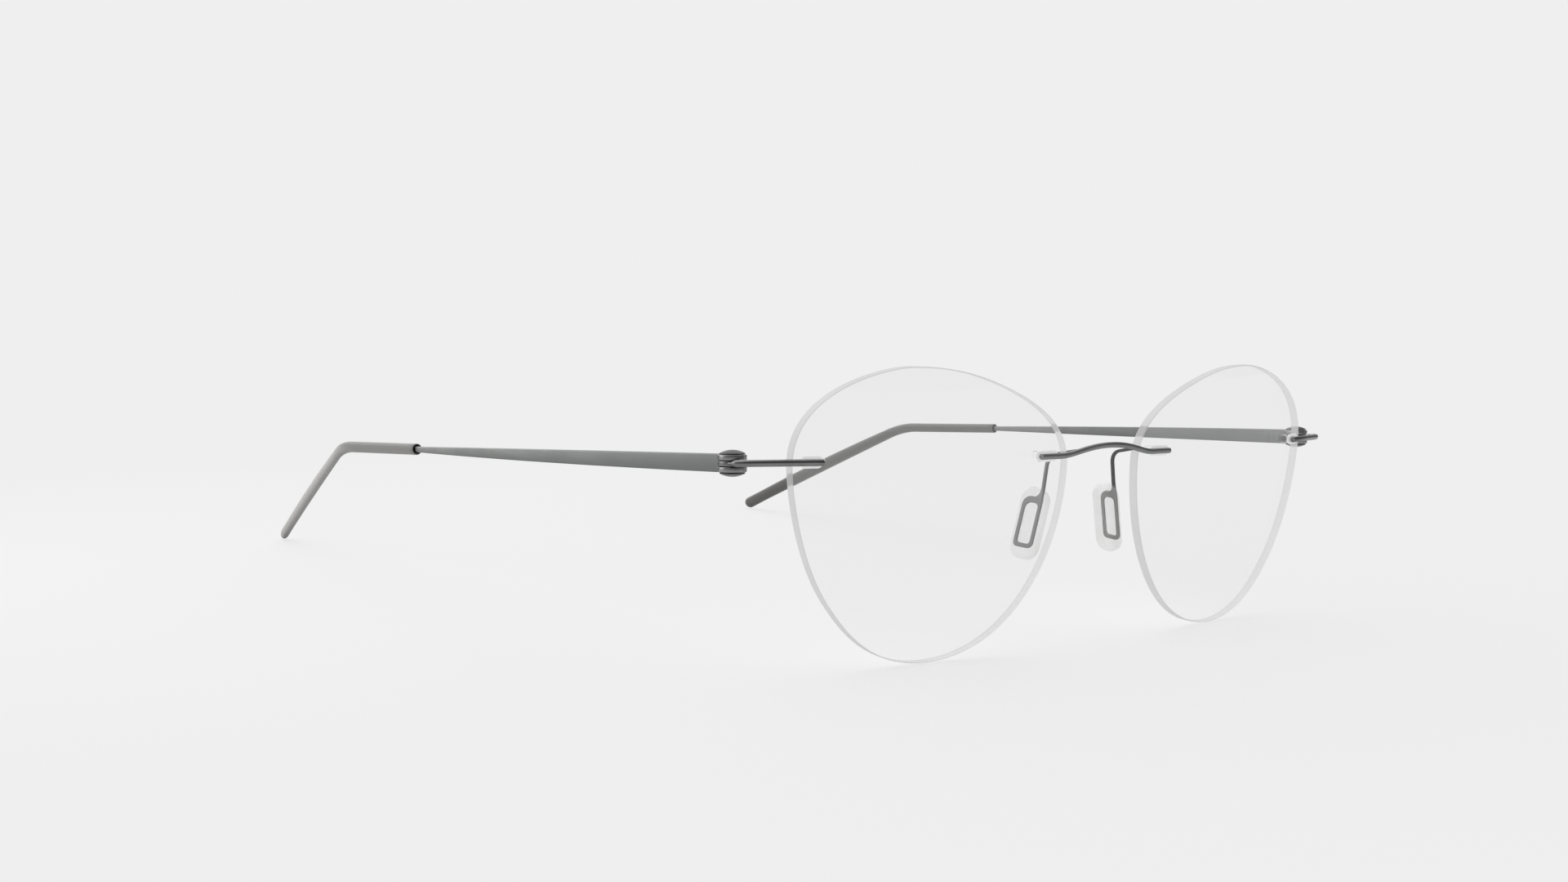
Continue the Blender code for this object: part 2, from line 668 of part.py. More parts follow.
def loop_outlines(grow):
    """Outer edge and window of the flat loop with the foot of its arm, each grown by a clearance."""
    half = LOOP_WIDTH / 2
    inner_edge = -half + LOOP_FRONT_BAR
    corner = LOOP_CORNER + grow
    x = half - LOOP_CORNER
    y = LOOP_BOTTOM + LOOP_CORNER
    shoulder = (half - LOOP_SHOULDER, LOOP_TOP - LOOP_SHOULDER)
    fillet = (inner_edge + ARM_SHIFT + ARM_FILLET, LOOP_TOP + ARM_FILLET)
    outer = arc((-x, y), corner, 180, 270, 4) + arc((x, y), corner, 270, 360, 4)
    outer += arc(shoulder, LOOP_SHOULDER + grow, 0, 90, 5) + arc(fillet, ARM_FILLET - grow, 270, 180, 5)
    outer.append((ARM_SHIFT - half - grow, LOOP_TOP + ARM_FILLET))
    outer.append((-half - grow, LOOP_TOP - ARM_FILLET))
    low = LOOP_BOTTOM + LOOP_BOTTOM_BAR
    high = LOOP_TOP - LOOP_TOP_BAR
    width = LOOP_WIDTH - LOOP_FRONT_BAR - LOOP_BACK_BAR
    window = rounded_rectangle(width - 2 * grow, high - low - 2 * grow, WINDOW_CORNER - grow, 4)
    shift_x = (LOOP_FRONT_BAR - LOOP_BACK_BAR) / 2
    shift_y = (low + high) / 2
    return [outer, [(x + shift_x, y + shift_y) for x, y in window]]


def arm_strip(side, grow):
    """The flat strip from the loop's foot up to its bend and on to the bridge, grown by a clearance."""
    foot = Vector((-LOOP_WIDTH / 2 + LOOP_FRONT_BAR / 2 + ARM_SHIFT / 2, LOOP_TOP, 0))
    corners = [pad_frame(side) @ foot]
    corners += [Vector((side * place.x, place.y, place.z)) for place in (ARM_LOW, ARM_CORNER, ARM_END)]
    path = rounded_path(corners, ARM_BENDS, 6)
    square = (corners[2] - corners[1]).cross(corners[3] - corners[2]).normalized()
    rings = []
    for i, point in enumerate(path):
        along = path[min(i + 1, len(path) - 1)] - path[max(i - 1, 0)]
        size = 1.0 if i else 0.9
        across = along.cross(square).normalized() * (size * (ARM_WIDTH / 2 + grow))
        out = across.cross(along).normalized() * (size * (ARM_THICKNESS / 2 + grow))
        rings.append([point + across + out, point - across + out, point - across - out, point + across - out])
    return loft(rings)


def make_pad_arm(name, side):
    """A flat loop and the strip that carries it, whose end is saddled to the back of the bridge."""
    arm = part(f"pad_arm_{name}", plate(loop_outlines(0), LOOP_THICKNESS), pad_frame(side), "titanium", stand)
    combine(arm, tool(f"pad_arm_strip_{name}", arm_strip(side, 0), Matrix(), stand), "UNION")
    path = bridge_path()
    saddle = tube(path, [BRIDGE_RADIUS + SEAT_GAP] * len(path))
    combine(arm, tool(f"bridge_saddle_{name}", saddle, Matrix(), stand), "DIFFERENCE")


def make_nose_pad(name, side):
    """A soft pad with rounded sides and a flat face to the nose, grooved for the loop and arm."""
    turns = [radians(90 * i / PAD_ROUND_STEPS) for i in range(PAD_ROUND_STEPS + 1)]
    back_round = PAD_ROUND / 3
    levels = [(back_round * (1 - sin(t)), -PAD_BACK + back_round * (1 - cos(t))) for t in turns]
    levels += [(PAD_ROUND * (1 - cos(t)), PAD_FRONT - PAD_ROUND * (1 - sin(t))) for t in turns]
    rings = []
    for inset, depth in levels:
        outline = rounded_rectangle(PAD_WIDTH - 2 * inset, PAD_HEIGHT - 2 * inset, PAD_CORNER - inset, 4)
        rings.append([(x, y, -side * depth) for x, y in outline])
    frame = pad_frame(side)
    pad = part(f"nose_pad_{name}", loft(rings), frame, "clear_silicone", stand)
    groove = plate(loop_outlines(SEAT_GAP), LOOP_THICKNESS + 2 * SEAT_GAP)
    combine(pad, tool(f"pad_groove_{name}", groove, frame, stand), "DIFFERENCE")
    strip_groove = tool(f"strip_groove_{name}", arm_strip(side, SEAT_GAP), Matrix(), stand)
    combine(pad, strip_groove, "DIFFERENCE")


def world_points(names):
    """Every corner of the named parts, in the world."""
    bpy.context.view_layer.update()
    graph = bpy.context.evaluated_depsgraph_get()
    found = []
    for name in names:
        shape = parts.objects[name].evaluated_get(graph)
        found += [shape.matrix_world @ vertex.co for vertex in shape.to_mesh().vertices]
        shape.to_mesh_clear()
    return np.array(found)


def set_down():
    """Tips the stand until lens edges and temple tips rest on one level, then centres the box on it."""
    front = world_points(["lens_left", "lens_right"])
    rear = world_points(["temple_tip_left", "temple_tip_right"])

    def lowest(points, tilt):
        return (points[:, 1] * sin(tilt) + points[:, 2] * cos(tilt)).min()

    low, high = radians(-15), radians(15)
    for _ in range(60):
        tilt = (low + high) / 2
        if lowest(front, tilt) > lowest(rear, tilt):
            low = tilt
        else:
            high = tilt
    stand.rotation_euler = (tilt, 0, 0)
    every = world_points([obj.name for obj in parts.objects if obj.type == "MESH"])
    middle = (every.min(axis=0) + every.max(axis=0)) / 2
    stand.location = (-middle[0], -middle[1], -every[:, 2].min())
    bpy.context.view_layer.update()


clear_scene()
parts = new_collection("eyeglasses")
tools = new_collection("cutters")
stand = empty("stand", Matrix())
make_bridge()
for side_name, side_sign in SIDES.items():
    pivot = Matrix.Translation((side_sign * HINGE.x, HINGE.y, HINGE.z))
    hinge_axis = empty(f"hinge_axis_{side_name}", pivot, stand)
    make_lens(side_name, side_sign)
    make_end_piece(side_name, side_sign)
    make_hinge_pin(side_name, hinge_axis)
    make_temple(side_name, side_sign, hinge_axis)
    make_tip(side_name, side_sign, hinge_axis)
    make_pad_arm(side_name, side_sign)
    make_nose_pad(side_name, side_sign)
set_down()
for side_name in SIDES:
    placed = parts.objects[f"hinge_axis_{side_name}"].matrix_world
    print("hinge", side_name, "at", tuple(placed.translation), "axis", tuple(placed.col[2][:3]))
print("stand", tuple(stand.rotation_euler), tuple(stand.location))
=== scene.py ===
import json

import bmesh
import bpy
import numpy as np
from mathutils import Matrix

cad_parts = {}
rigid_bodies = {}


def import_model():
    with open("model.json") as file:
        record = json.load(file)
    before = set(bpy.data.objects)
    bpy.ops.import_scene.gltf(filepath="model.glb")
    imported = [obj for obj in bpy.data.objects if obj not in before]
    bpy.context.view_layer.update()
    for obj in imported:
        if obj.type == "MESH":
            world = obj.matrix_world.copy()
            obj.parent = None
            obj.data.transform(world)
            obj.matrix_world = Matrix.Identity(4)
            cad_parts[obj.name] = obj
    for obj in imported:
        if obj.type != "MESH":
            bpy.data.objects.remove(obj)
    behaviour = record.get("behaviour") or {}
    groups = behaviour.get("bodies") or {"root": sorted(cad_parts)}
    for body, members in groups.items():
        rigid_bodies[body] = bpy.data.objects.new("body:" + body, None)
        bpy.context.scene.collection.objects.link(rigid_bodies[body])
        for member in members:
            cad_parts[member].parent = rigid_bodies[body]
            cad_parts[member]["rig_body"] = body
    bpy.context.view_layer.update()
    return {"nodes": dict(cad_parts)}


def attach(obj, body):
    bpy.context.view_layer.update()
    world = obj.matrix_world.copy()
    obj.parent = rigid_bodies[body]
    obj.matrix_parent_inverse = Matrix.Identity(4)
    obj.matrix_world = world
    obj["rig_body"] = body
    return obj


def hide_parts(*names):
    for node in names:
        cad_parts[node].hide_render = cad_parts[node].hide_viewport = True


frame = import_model()
scene = bpy.context.scene
mm = 0.001
hands = {"left": 1.0, "right": -1.0}


# shapes are laid out in millimetres as worn: X to the wearer's left, Y back along the temples, Z up
standing = {"tilt": -0.064224, "shift": (0.0, -71.0799, 20.8059)}


def turn(axis, angle):
    # turning matrix about X, Y or Z by an angle in radians
    c = np.cos(angle)
    s = np.sin(angle)
    a, b = [(1, 2), (2, 0), (0, 1)][axis]
    matrix = np.eye(3)
    matrix[a, a] = c
    matrix[a, b] = -s
    matrix[b, a] = s
    matrix[b, b] = c
    return matrix


def toRow(points):
    # stands the worn frame on the floor: a turn about X, a shift, and millimetres to metres
    return (np.asarray(points, float) @ turn(0, standing["tilt"]).T + standing["shift"]) * mm


def unit(vectors):
    # the same directions at length 1
    return vectors / np.linalg.norm(vectors, axis=-1, keepdims=True)


# camera, fitted to the photograph
viewPoint = {"azimuth": -41.608, "elevation": 2.476, "place": (-232.14, -191.63, 22.54), "lens": 45.675}


def setCamera():
    az, el = np.radians([viewPoint["azimuth"], viewPoint["elevation"]])
    back = np.array([np.sin(az) * np.cos(el), -np.cos(az) * np.cos(el), np.sin(el)])
    right = np.array([np.cos(az), np.sin(az), 0.0])
    axes = turn(0, standing["tilt"]) @ np.stack([right, np.cross(back, right), back], 1)
    pose = np.eye(4)
    pose[:3, :3] = axes
    pose[:3, 3] = toRow(viewPoint["place"])
    data = bpy.data.cameras.new("camera")
    data.lens = viewPoint["lens"]
    data.sensor_width = 36.0
    data.clip_start = 0.01
    camera = bpy.data.objects.new("camera", data)
    scene.collection.objects.link(camera)
    camera.matrix_world = Matrix(pose.tolist())
    scene.camera = camera


setCamera()
print("camera set")


# shader sockets with arithmetic: an expression adds its own Math nodes
class Shade:
    def __init__(self, tree, socket=None):
        self.tree = tree
        self.socket = socket

    def node(self, kind, settings=None, inputs=None, output=0):
        made = self.tree.nodes.new(kind)
        for key, value in (settings or {}).items():
            setattr(made, key, value)
        for key, value in (inputs or {}).items():
            if isinstance(value, Shade):
                self.tree.links.new(value.socket, made.inputs[key])
            else:
                made.inputs[key].default_value = value
        return Shade(self.tree, made.outputs[output])

    def math(self, operation, first, second):
        return self.node("ShaderNodeMath", {"operation": operation}, {0: first, 1: second})

    def __add__(self, other):
        return self.math("ADD", self, other)

    def __radd__(self, other):
        return self.math("ADD", other, self)

    def __sub__(self, other):
        return self.math("SUBTRACT", self, other)

    def __rsub__(self, other):
        return self.math("SUBTRACT", other, self)

    def __mul__(self, other):
        return self.math("MULTIPLY", self, other)

    def spread(self, low, high):
        # 0 below low, 1 above high, smooth between
        limits = {"Value": self, "From Min": low, "From Max": high}
        return self.node("ShaderNodeMapRange", {"interpolation_type": "SMOOTHSTEP"}, limits)

    def mix(self, first, second):
        # a colour between two, this value being the share of the second
        return self.node("ShaderNodeMix", {"data_type": "RGBA"}, {0: self, 6: first, 7: second}, 2)

    def noise(self, place, scale, detail=2.0, roughness=0.5):
        inputs = {"Vector": place, "Scale": scale, "Detail": detail, "Roughness": roughness}
        return self.node("ShaderNodeTexNoise", None, inputs)

    def stretched(self, place, scale):
        return self.node("ShaderNodeMapping", None, {"Vector": place, "Scale": scale})

    def axis(self, place, index):
        return self.node("ShaderNodeSeparateXYZ", None, {0: place}, index)


def newFinish(name, constants):
    # a Principled material with its fixed numbers set straight on the sockets
    material = bpy.data.materials.new(name)
    material.use_nodes = True
    tree = material.node_tree
    shader = tree.nodes["Principled BSDF"]
    for key, value in constants.items():
        shader.inputs[key].default_value = value
    shade = Shade(tree)
    place = shade.node("ShaderNodeTexCoord", None, None, 3)
    return material, shade, place, shader


def feed(shader, socket, value):
    # links a varying value to a socket
    value.tree.links.new(value.socket, shader.inputs[socket])


def bump(shader, height, strength, distance):
    inputs = {"Height": height, "Strength": strength, "Distance": distance}
    feed(shader, "Normal", height.node("ShaderNodeBump", None, inputs))


def grey(level, warm=0.0):
    # a grey, a little warmer when warm is above 0
    return (level * (1 + warm), level, level * (1 - warm), 1.0)


def satinMetal(name, look):
    # drawn and satin-polished titanium: long fine streaks, cloudy tone, dulled spots
    # a look may also paint light and shade: lighter towards the blade's rear and darker along its bottom, a
    # tone of its own past a place on an axis, or dark over a dome except low on the lower cap
    material, shade, place, shader = newFinish(name, {"Metallic": 1.0, "Specular Tint": look["rim"]})
    long = shade.stretched(place, look["streak"])
    streaks = shade.noise(long, 2600.0, 3.0, 0.6)
    cloud = shade.noise(place, 190.0, 3.0)
    tone = (streaks * 0.45 + cloud * 0.55).spread(0.3, 0.7)
    metal = tone.mix(look["dark"], look["light"])
    # painted light: the blade lightens towards its rear, to a tone of its own on each side; painted shade
    # darkens its lower edge
    if "along" in look:
        run = shade.axis(place, 1).spread(*look["along"])
        far = shade.axis(place, 0).spread(-0.01, 0.01).mix(look["far"], look["farLeft"])
        metal = (run * tone.spread(0.0, 2.2) + run * 0.5).mix(metal, far)
        level = shade.axis(place, 2) + shade.axis(place, 1) * look["fall"]
        metal = level.spread(*look["upper"]).mix(look["low"], metal)
    # painted light and shade: a tone of its own past a place on an axis
    for axis, first, last, other in look.get("paintedLightRamps", []):
        metal = shade.axis(place, axis).spread(first, last).mix(metal, other)
    # painted shade: the domes are dark, lighter only towards the bottom of the lower cap
    if "foot" in look:
        level = look["middle"] - shade.axis(place, 2) - shade.axis(place, 1) * look["lean"]
        metal = level.spread(*look["foot"]).mix(look["paintedDomeShade"], metal)
    feed(shader, "Base Color", metal)
    feed(shader, "Roughness", look["rough"] + streaks * 0.10 + cloud * 0.10)
    bump(shader, streaks, look["grain"], 0.00002)
    return material


def lensClear():
    # polished lens: clear and hardly bending the view, with a weak coat shine and a faint painted glow
    fixed = {"Base Color": grey(0.868), "Transmission Weight": 1.0, "IOR": 1.003, "Coat Weight": 0.3}
    # painted light: a faint glow over the lens, patchy with the smear
    fixed["Emission Strength"] = 0.042
    material, shade, place, shader = newFinish("lensClear", fixed)
    smear = shade.noise(shade.stretched(place, (1.0, 1.0, 2.5)), 60.0, 4.0, 0.65)
    feed(shader, "Roughness", smear.spread(0.5, 0.85) * 0.02)
    feed(shader, "Emission Color", smear.mix(grey(0.94), grey(1.0)))
    return material


def lensInside():
    # clear plastic inside the lens, hardly seen: a trace of haze and no shine
    fixed = {"Transmission Weight": 1.0, "IOR": 1.003, "Specular IOR Level": 0.0}
    material, shade, place, shader = newFinish("lensInside", fixed)
    haze = shade.noise(place, 900.0, 2.0)
    feed(shader, "Base Color", haze.mix(grey(0.97), grey(0.99)))
    feed(shader, "Roughness", haze * 0.05)
    return material


def lensEdge():
    # ground lens edge: frosted pale grey, cloudy from the grinding wheel, with a painted glow for light
    # gathered in the edge
    fixed = {"Transmission Weight": 0.5, "IOR": 1.003, "Specular IOR Level": 0.2}
    # painted light: the edge glows a little, patchy over its length
    fixed["Emission Strength"] = 0.28
    material, shade, place, shader = newFinish("lensEdge", fixed)
    grind = shade.noise(shade.stretched(place, (1.0, 0.1, 1.0)), 1800.0, 2.0, 0.6)
    patch = shade.noise(place, 160.0, 2.0)
    feed(shader, "Base Color", (grind * 0.2 + patch * 0.8).mix(grey(0.36), grey(0.44)))
    feed(shader, "Emission Color", patch.mix(grey(0.92), grey(1.0)))
    feed(shader, "Roughness", grind * 0.10 + 0.25)
    bump(shader, grind, 0.02, 0.00002)
    return material


def softSilicone():
    # clear silicone: hazy inside, slightly orange-peeled outside
    fixed = {"Transmission Weight": 0.8, "IOR": 1.02, "Coat Weight": 0.15, "Coat Roughness": 0.3}
    material, shade, place, shader = newFinish("softSilicone", fixed)
    haze = shade.noise(place, 420.0, 3.0, 0.6)
    peel = shade.noise(place, 2400.0, 2.0)
    feed(shader, "Base Color", haze.spread(0.3, 0.75).mix(grey(0.965), grey(0.925, 0.004)))
    feed(shader, "Roughness", haze * 0.10 + 0.02)
    bump(shader, peel, 0.05, 0.00003)
    return material


def mouldedClear():
    # moulded bushing: milky plastic, brought to near white by a painted glow
    fixed = {"Transmission Weight": 0.25, "IOR": 1.01, "Coat Weight": 0.1, "Coat Roughness": 0.3}
    # painted light: a glow that brings the bushing near to white
    fixed["Emission Strength"] = 0.31
    material, shade, place, shader = newFinish("mouldedClear", fixed)
    flow = shade.noise(shade.stretched(place, (1.0, 3.0, 3.0)), 700.0, 3.0)
    feed(shader, "Base Color", flow.mix(grey(0.78), grey(0.84)))
    feed(shader, "Emission Color", flow.mix(grey(0.94), grey(1.0)))
    feed(shader, "Roughness", flow * 0.12 + 0.12)
    bump(shader, flow, 0.06, 0.00003)
    return material


def tipPlastic(look):
    # satin grey temple tip: fine mould grain, with painted light on its outer side and over the bend,
    # painted shade on its inner side and along its top
    material, shade, place, shader = newFinish("tipPlastic", {"Specular IOR Level": 0.5})
    grain = shade.noise(place, 5200.0, 2.0, 0.6)
    patch = shade.noise(place, 140.0, 3.0)
    side = shade.axis(place, 0)
    side = side.math("ABSOLUTE", side, 0.0)
    back = shade.axis(place, 1)
    # middle line of the tip: nearly straight back, then in towards the head
    (first, firstFall), (second, secondFall) = look["lines"]
    middle = back.math("MINIMUM", first - back * firstFall, second - back * secondFall)
    # painted light and shade: the outer side paler, the inner side darker
    outer = (side - middle).spread(*look["outer"])
    mottle = grain * 0.35 + patch * 0.65
    # painted shade: the straight part is darker than the bent one, most of all along its top
    bent = back.spread(*look["bent"])
    paintedBendLight = bent.mix(mottle.mix(*look["straight"]), mottle.mix(*look["paintedBendLight"]))
    tone = outer.mix(mottle.mix(*look["inner"]), paintedBendLight)
    top = (shade.axis(place, 2) + back * look["fall"]).spread(*look["top"])
    feed(shader, "Base Color", top.mix(tone, outer.mix(*look["paintedTopShade"])))
    feed(shader, "Roughness", grain * 0.18 + 0.32)
    bump(shader, grain, 0.16, 0.00003)
    return material


def paintedRecessShade():
    # painted shade: near black for the seat and core inside the tip's mouth, where the recess lies in shade
    material, shade, place, shader = newFinish("paintedRecessShade", {"Specular IOR Level": 0.1})
    speck = shade.noise(place, 2400.0)
    feed(shader, "Base Color", speck.mix(grey(0.004), grey(0.010)))
    feed(shader, "Roughness", speck * 0.2 + 0.7)
    return material


# blade tones: painted light towards the rear, less on the left blade, and painted shade along the lower
# edge
bladeLook = {
    "dark": (0.172, 0.177, 0.174, 1.0),
    "light": (0.200, 0.206, 0.203, 1.0),
    "far": (0.36, 0.365, 0.357, 1.0),
    "farLeft": (0.29, 0.294, 0.288, 1.0),
    "low": (0.185, 0.191, 0.188, 1.0),
    "rim": (0.8, 0.8, 0.8, 1.0),
    "along": (-0.055, 0.02),
    "fall": 0.0725,
    "upper": (0.0226, 0.0246),
    "streak": (1.0, 0.025, 1.0),
    "rough": 0.34,
    "grain": 0.10,
}
wireLook = {
    "dark": (0.175, 0.177, 0.175, 1.0),
    "light": (0.230, 0.233, 0.230, 1.0),
    # painted light: the left end piece is paler from 55 mm out, over its bend into the hinge
    "paintedLightRamps": [(0, 0.0550, 0.0600, (0.40, 0.404, 0.40, 1.0))],
    "rim": (0.7, 0.7, 0.7, 1.0),
    "streak": (0.05, 1.0, 1.0),
    "rough": 0.24,
    "grain": 0.06,
}
bridgeLook = {
    "dark": (0.26, 0.265, 0.26, 1.0),
    "light": (0.34, 0.345, 0.34, 1.0),
    "rim": (0.7, 0.7, 0.7, 1.0),
    "streak": (0.05, 1.0, 1.0),
    "rough": 0.44,
    "grain": 0.06,
}
stripLook = {
    "dark": (0.132, 0.134, 0.132, 1.0),
    "light": (0.165, 0.168, 0.165, 1.0),
    # painted light and shade: the left pad arm paler than the right, both darker high up towards the bridge
    "paintedLightRamps": [
        (0, -0.002, 0.002, (0.24, 0.244, 0.24, 1.0)),
        (2, 0.0224, 0.0236, (0.105, 0.107, 0.105, 1.0)),
    ],
    "rim": (0.7, 0.7, 0.7, 1.0),
    "streak": (1.0, 1.0, 0.05),
    "rough": 0.30,
    "grain": 0.06,
}
hingeLook = {
    "dark": (0.25, 0.255, 0.25, 1.0),
    "light": (0.33, 0.335, 0.33, 1.0),
    "rim": (0.7, 0.7, 0.7, 1.0),
    "streak": (1.0, 1.0, 0.05),
    "rough": 0.22,
    "grain": 0.05,
}
# painted shade: a dark tone over the hinge's domes, all but the bottom of the lower cap
domeLook = {
    **hingeLook,
    "paintedDomeShade": (0.068, 0.070, 0.068, 1.0),
    "foot": (0.0012, 0.0017),
    "lean": 0.0643,
    "middle": 0.024593,
}
# tip tones: painted shade on the inner side, on the straight part and along the top; painted light over the
# bend
tipLook = {
    "lines": [(0.0677, 0.041), (0.0750, 0.244)],
    "outer": (-0.0008, 0.0008),
    "bent": (0.030, 0.040),
    "fall": 0.0827,
    "top": (0.0235, 0.0251),
    "inner": (grey(0.16, 0.02), grey(0.21, 0.02)),
    "straight": (grey(0.27, 0.02), grey(0.33, 0.02)),
    "paintedBendLight": (grey(0.45, 0.02), grey(0.54, 0.02)),
    "paintedTopShade": (grey(0.11, 0.02), grey(0.14, 0.02)),
}
bladeMetal = satinMetal("bladeMetal", bladeLook)
wireMetal = satinMetal("wireMetal", wireLook)
bridgeMetal = satinMetal("bridgeMetal", bridgeLook)
stripMetal = satinMetal("stripMetal", stripLook)
hingeMetal = satinMetal("hingeMetal", hingeLook)
domeMetal = satinMetal("domeMetal", domeLook)
clearGlass = lensClear()
clearInside = lensInside()
groundEdge = lensEdge()
silicone = softSilicone()
bushingPlastic = mouldedClear()
tipGrey = tipPlastic(tipLook)
paintedShadeSeat = paintedRecessShade()
print("finishes made")


# joined points in metres, and the angles above which an edge stays sharp
seams = {"weld": 1e-8, "sharp": 0.6, "lensSharp": 0.3}


def pinched(rings):
    # closes a grid at both ends by a ring drawn together in its middle
    first = np.broadcast_to(rings[:1].mean(axis=1, keepdims=True), rings[:1].shape)
    last = np.broadcast_to(rings[-1:].mean(axis=1, keepdims=True), rings[-1:].shape)
    return np.concatenate([first, rings, last])


def gridFaces(points, loop):
    # four-cornered faces between neighbours of a grid that is closed around, turned to face out
    rows, around = points.shape[:2]
    i = np.arange(rows if loop else rows - 1)[:, None]
    j = np.arange(around)[None, :]
    nextRow = (i + 1) % rows * around
    nextJ = (j + 1) % around
    corners = (i * around + j, i * around + nextJ, nextRow + nextJ, nextRow + j)
    quads = np.stack(np.broadcast_arrays(*corners), -1).reshape(-1, 4)
    flat = points.reshape(-1, 3) - points.reshape(-1, 3).mean(axis=0)
    a, b, c, d = [flat[quads[:, k]] for k in range(4)]
    volume = (a * np.cross(b, c)).sum() + (a * np.cross(c, d)).sum()
    return quads if volume > 0 else quads[:, ::-1]


def weld(mesh):
    # joins points that lie together, at poles and seams
    work = bmesh.new()
    work.from_mesh(mesh)
    bmesh.ops.remove_doubles(work, verts=work.verts, dist=seams["weld"])
    work.to_mesh(mesh)
    work.free()


def layered(rings, levels):
    # flat rings, each lifted to its own level
    flat = np.stack(rings)
    return np.concatenate([flat, np.broadcast_to(levels[:, None, None], flat.shape[:2] + (1,))], -1)


def addPiece(name, node, grids, finishes):
    # one piece of the object from grids in millimetres, standing for a CAD node on that node's body
    # a grid is (points, closed along too, the finish of each of its rows or one for all)
    points = []
    faces = []
    marks = []
    start = 0
    for grid, loop, mark in grids:
        quads = gridFaces(grid, loop)
        points.append(grid.reshape(-1, 3))
        faces.append(quads + start)
        marks.append(np.repeat(np.broadcast_to(mark, len(quads) // grid.shape[1]), grid.shape[1]))
        start += grid.shape[0] * grid.shape[1]
    mesh = bpy.data.meshes.new(name)
    mesh.from_pydata(toRow(np.concatenate(points)).tolist(), [], np.concatenate(faces).tolist())
    for finish in finishes:
        mesh.materials.append(finish)
    mesh.polygons.foreach_set("material_index", np.concatenate(marks).astype(np.int32))
    weld(mesh)
    mesh.shade_smooth()
    mesh.set_sharp_from_angle(angle=seams["sharp"])
    piece = bpy.data.objects.new(name, mesh)
    scene.collection.objects.link(piece)
    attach(piece, frame["nodes"][node]["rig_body"])
    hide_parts(node)
    return piece


def sweep(path, wide, high, upward=(0.0, 0.0, 1.0)):
    # a section carried along a path: offsets across it and upwards, one row of them at each point
    ahead = unit(np.gradient(path, axis=0))
    across = unit(np.cross(ahead, upward))
    up = np.cross(across, ahead)
    return path[:, None] + across[:, None] * wide[..., None] + up[:, None] * high[..., None]


def roundTube(path, radii, sides):
    # circle carried along a path
    angle = np.linspace(0, 2 * np.pi, sides, endpoint=False)
    radii = np.asarray(radii)[:, None]
    return sweep(path, radii * np.cos(angle), radii * np.sin(angle))


def lathe(profile, sides, centre, axes=np.eye(3)):
    # radius and height points turned about an axis: x = r cos a, y = r sin a, z = height
    profile = np.asarray(profile, float)
    angle = np.linspace(0, 2 * np.pi, sides, endpoint=False)
    radius = profile[:, :1]
    height = np.broadcast_to(profile[:, 1:], (len(profile), sides))
    local = np.stack([radius * np.cos(angle), radius * np.sin(angle), height], -1)
    return centre + local @ axes.T


def bezier(a, b, c, d, steps):
    # cubic curve through a and d with handles b and c, without its end
    t = np.linspace(0, 1, steps, endpoint=False)[:, None]
    s = 1 - t
    return s**3 * a + 3 * s * s * t * b + 3 * s * t * t * c + t**3 * d


def cornerPath(places, radii, steps):
    # line through several places, each corner between its ends rounded by an arc
    line = [places[:1]]
    t = np.linspace(0, 1, steps)[:, None]
    for a, b, c, radius in zip(places, places[1:], places[2:], radii):
        back = unit(a - b)
        ahead = unit(c - b)
        half = np.arccos(back @ ahead) / 2
        centre = b + unit(back + ahead) * radius / np.sin(half)
        first = unit(b + back * radius / np.tan(half) - centre)
        last = unit(b + ahead * radius / np.tan(half) - centre)
        whole = np.arccos(first @ last)
        arc = (np.sin((1 - t) * whole) * first + np.sin(t * whole) * last) / np.sin(whole)
        line.append(centre + arc * radius)
    return np.concatenate(line + [places[-1:]])


def spaced(path, step):
    # the same line with points no further apart than a step
    pieces = []
    for start, end in zip(path[:-1], path[1:]):
        count = max(int(np.ceil(np.linalg.norm(end - start) / step)), 1)
        pieces.append(start + (end - start) * np.linspace(0, 1, count, endpoint=False)[:, None])
    return np.concatenate(pieces + [path[-1:]])


def softened(path, radius, edge):
    # end rings of a cut wire: a little smaller at the face, full size an edge further in
    first = path[:1] + unit(path[1:2] - path[:1]) * edge
    last = path[-1:] + unit(path[-2:-1] - path[-1:]) * edge
    line = np.concatenate([path[:1], first, path[1:-1], last, path[-1:]])
    radii = np.full(len(line), radius)
    radii[[0, -1]] = radius - edge
    return line, radii


# lenses
lensShape = {
    "centre": 33.1,
    "wrap": 5.8,
    "tilt": 5.7,
    "radius": 250.0,
    "thickness": 1.4,
    "bevel": 0.12,
    "edgeRow": 0.4,
    "fit": 0.9993,
    "segment": 48,
    "rings": 9,
    # outline points: outward, up, travel angle, handle before and after
    "outline": [
        (25.0, 8.0, 90, 3.0, 10.4),
        (5.7, 20.85, 180, 3.0, 5.0),
        (-12.8, 17.7, 200, 9.0, 6.6),
        (-25.0, 6.6, 270, 5.6, 13.8),
        (0.0, -20.85, 0, 16.0, 9.8),
        (17.7, -11.7, 50, 4.5, 8.7),
    ],
}
mountShape = {
    "height": 8.1,
    "temporal": 21.7,
    "nasal": -20.1,
    "flangeTemporal": 4.25,
    "flangeNasal": 4.8,
    "flangeWidth": 1.7,
    "flangeThick": 0.3,
    "flangeRound": 0.2,
    "flangeTrim": 0.7,
    "inset": 0.3,
    "proud": 0.15,
    "gap": 0.04,
    "pinRadius": 0.33,
    "pinBack": 0.55,
    "pinBevel": 0.08,
    "pinClearFrom": 0.1,
    "pinSides": 24,
    "footBevel": 0.1,
    "flangeBack": 0.05,
    "flangeSides": 64,
    "slotSides": 40,
    "cutLevels": (-4.0, 4.0),
}


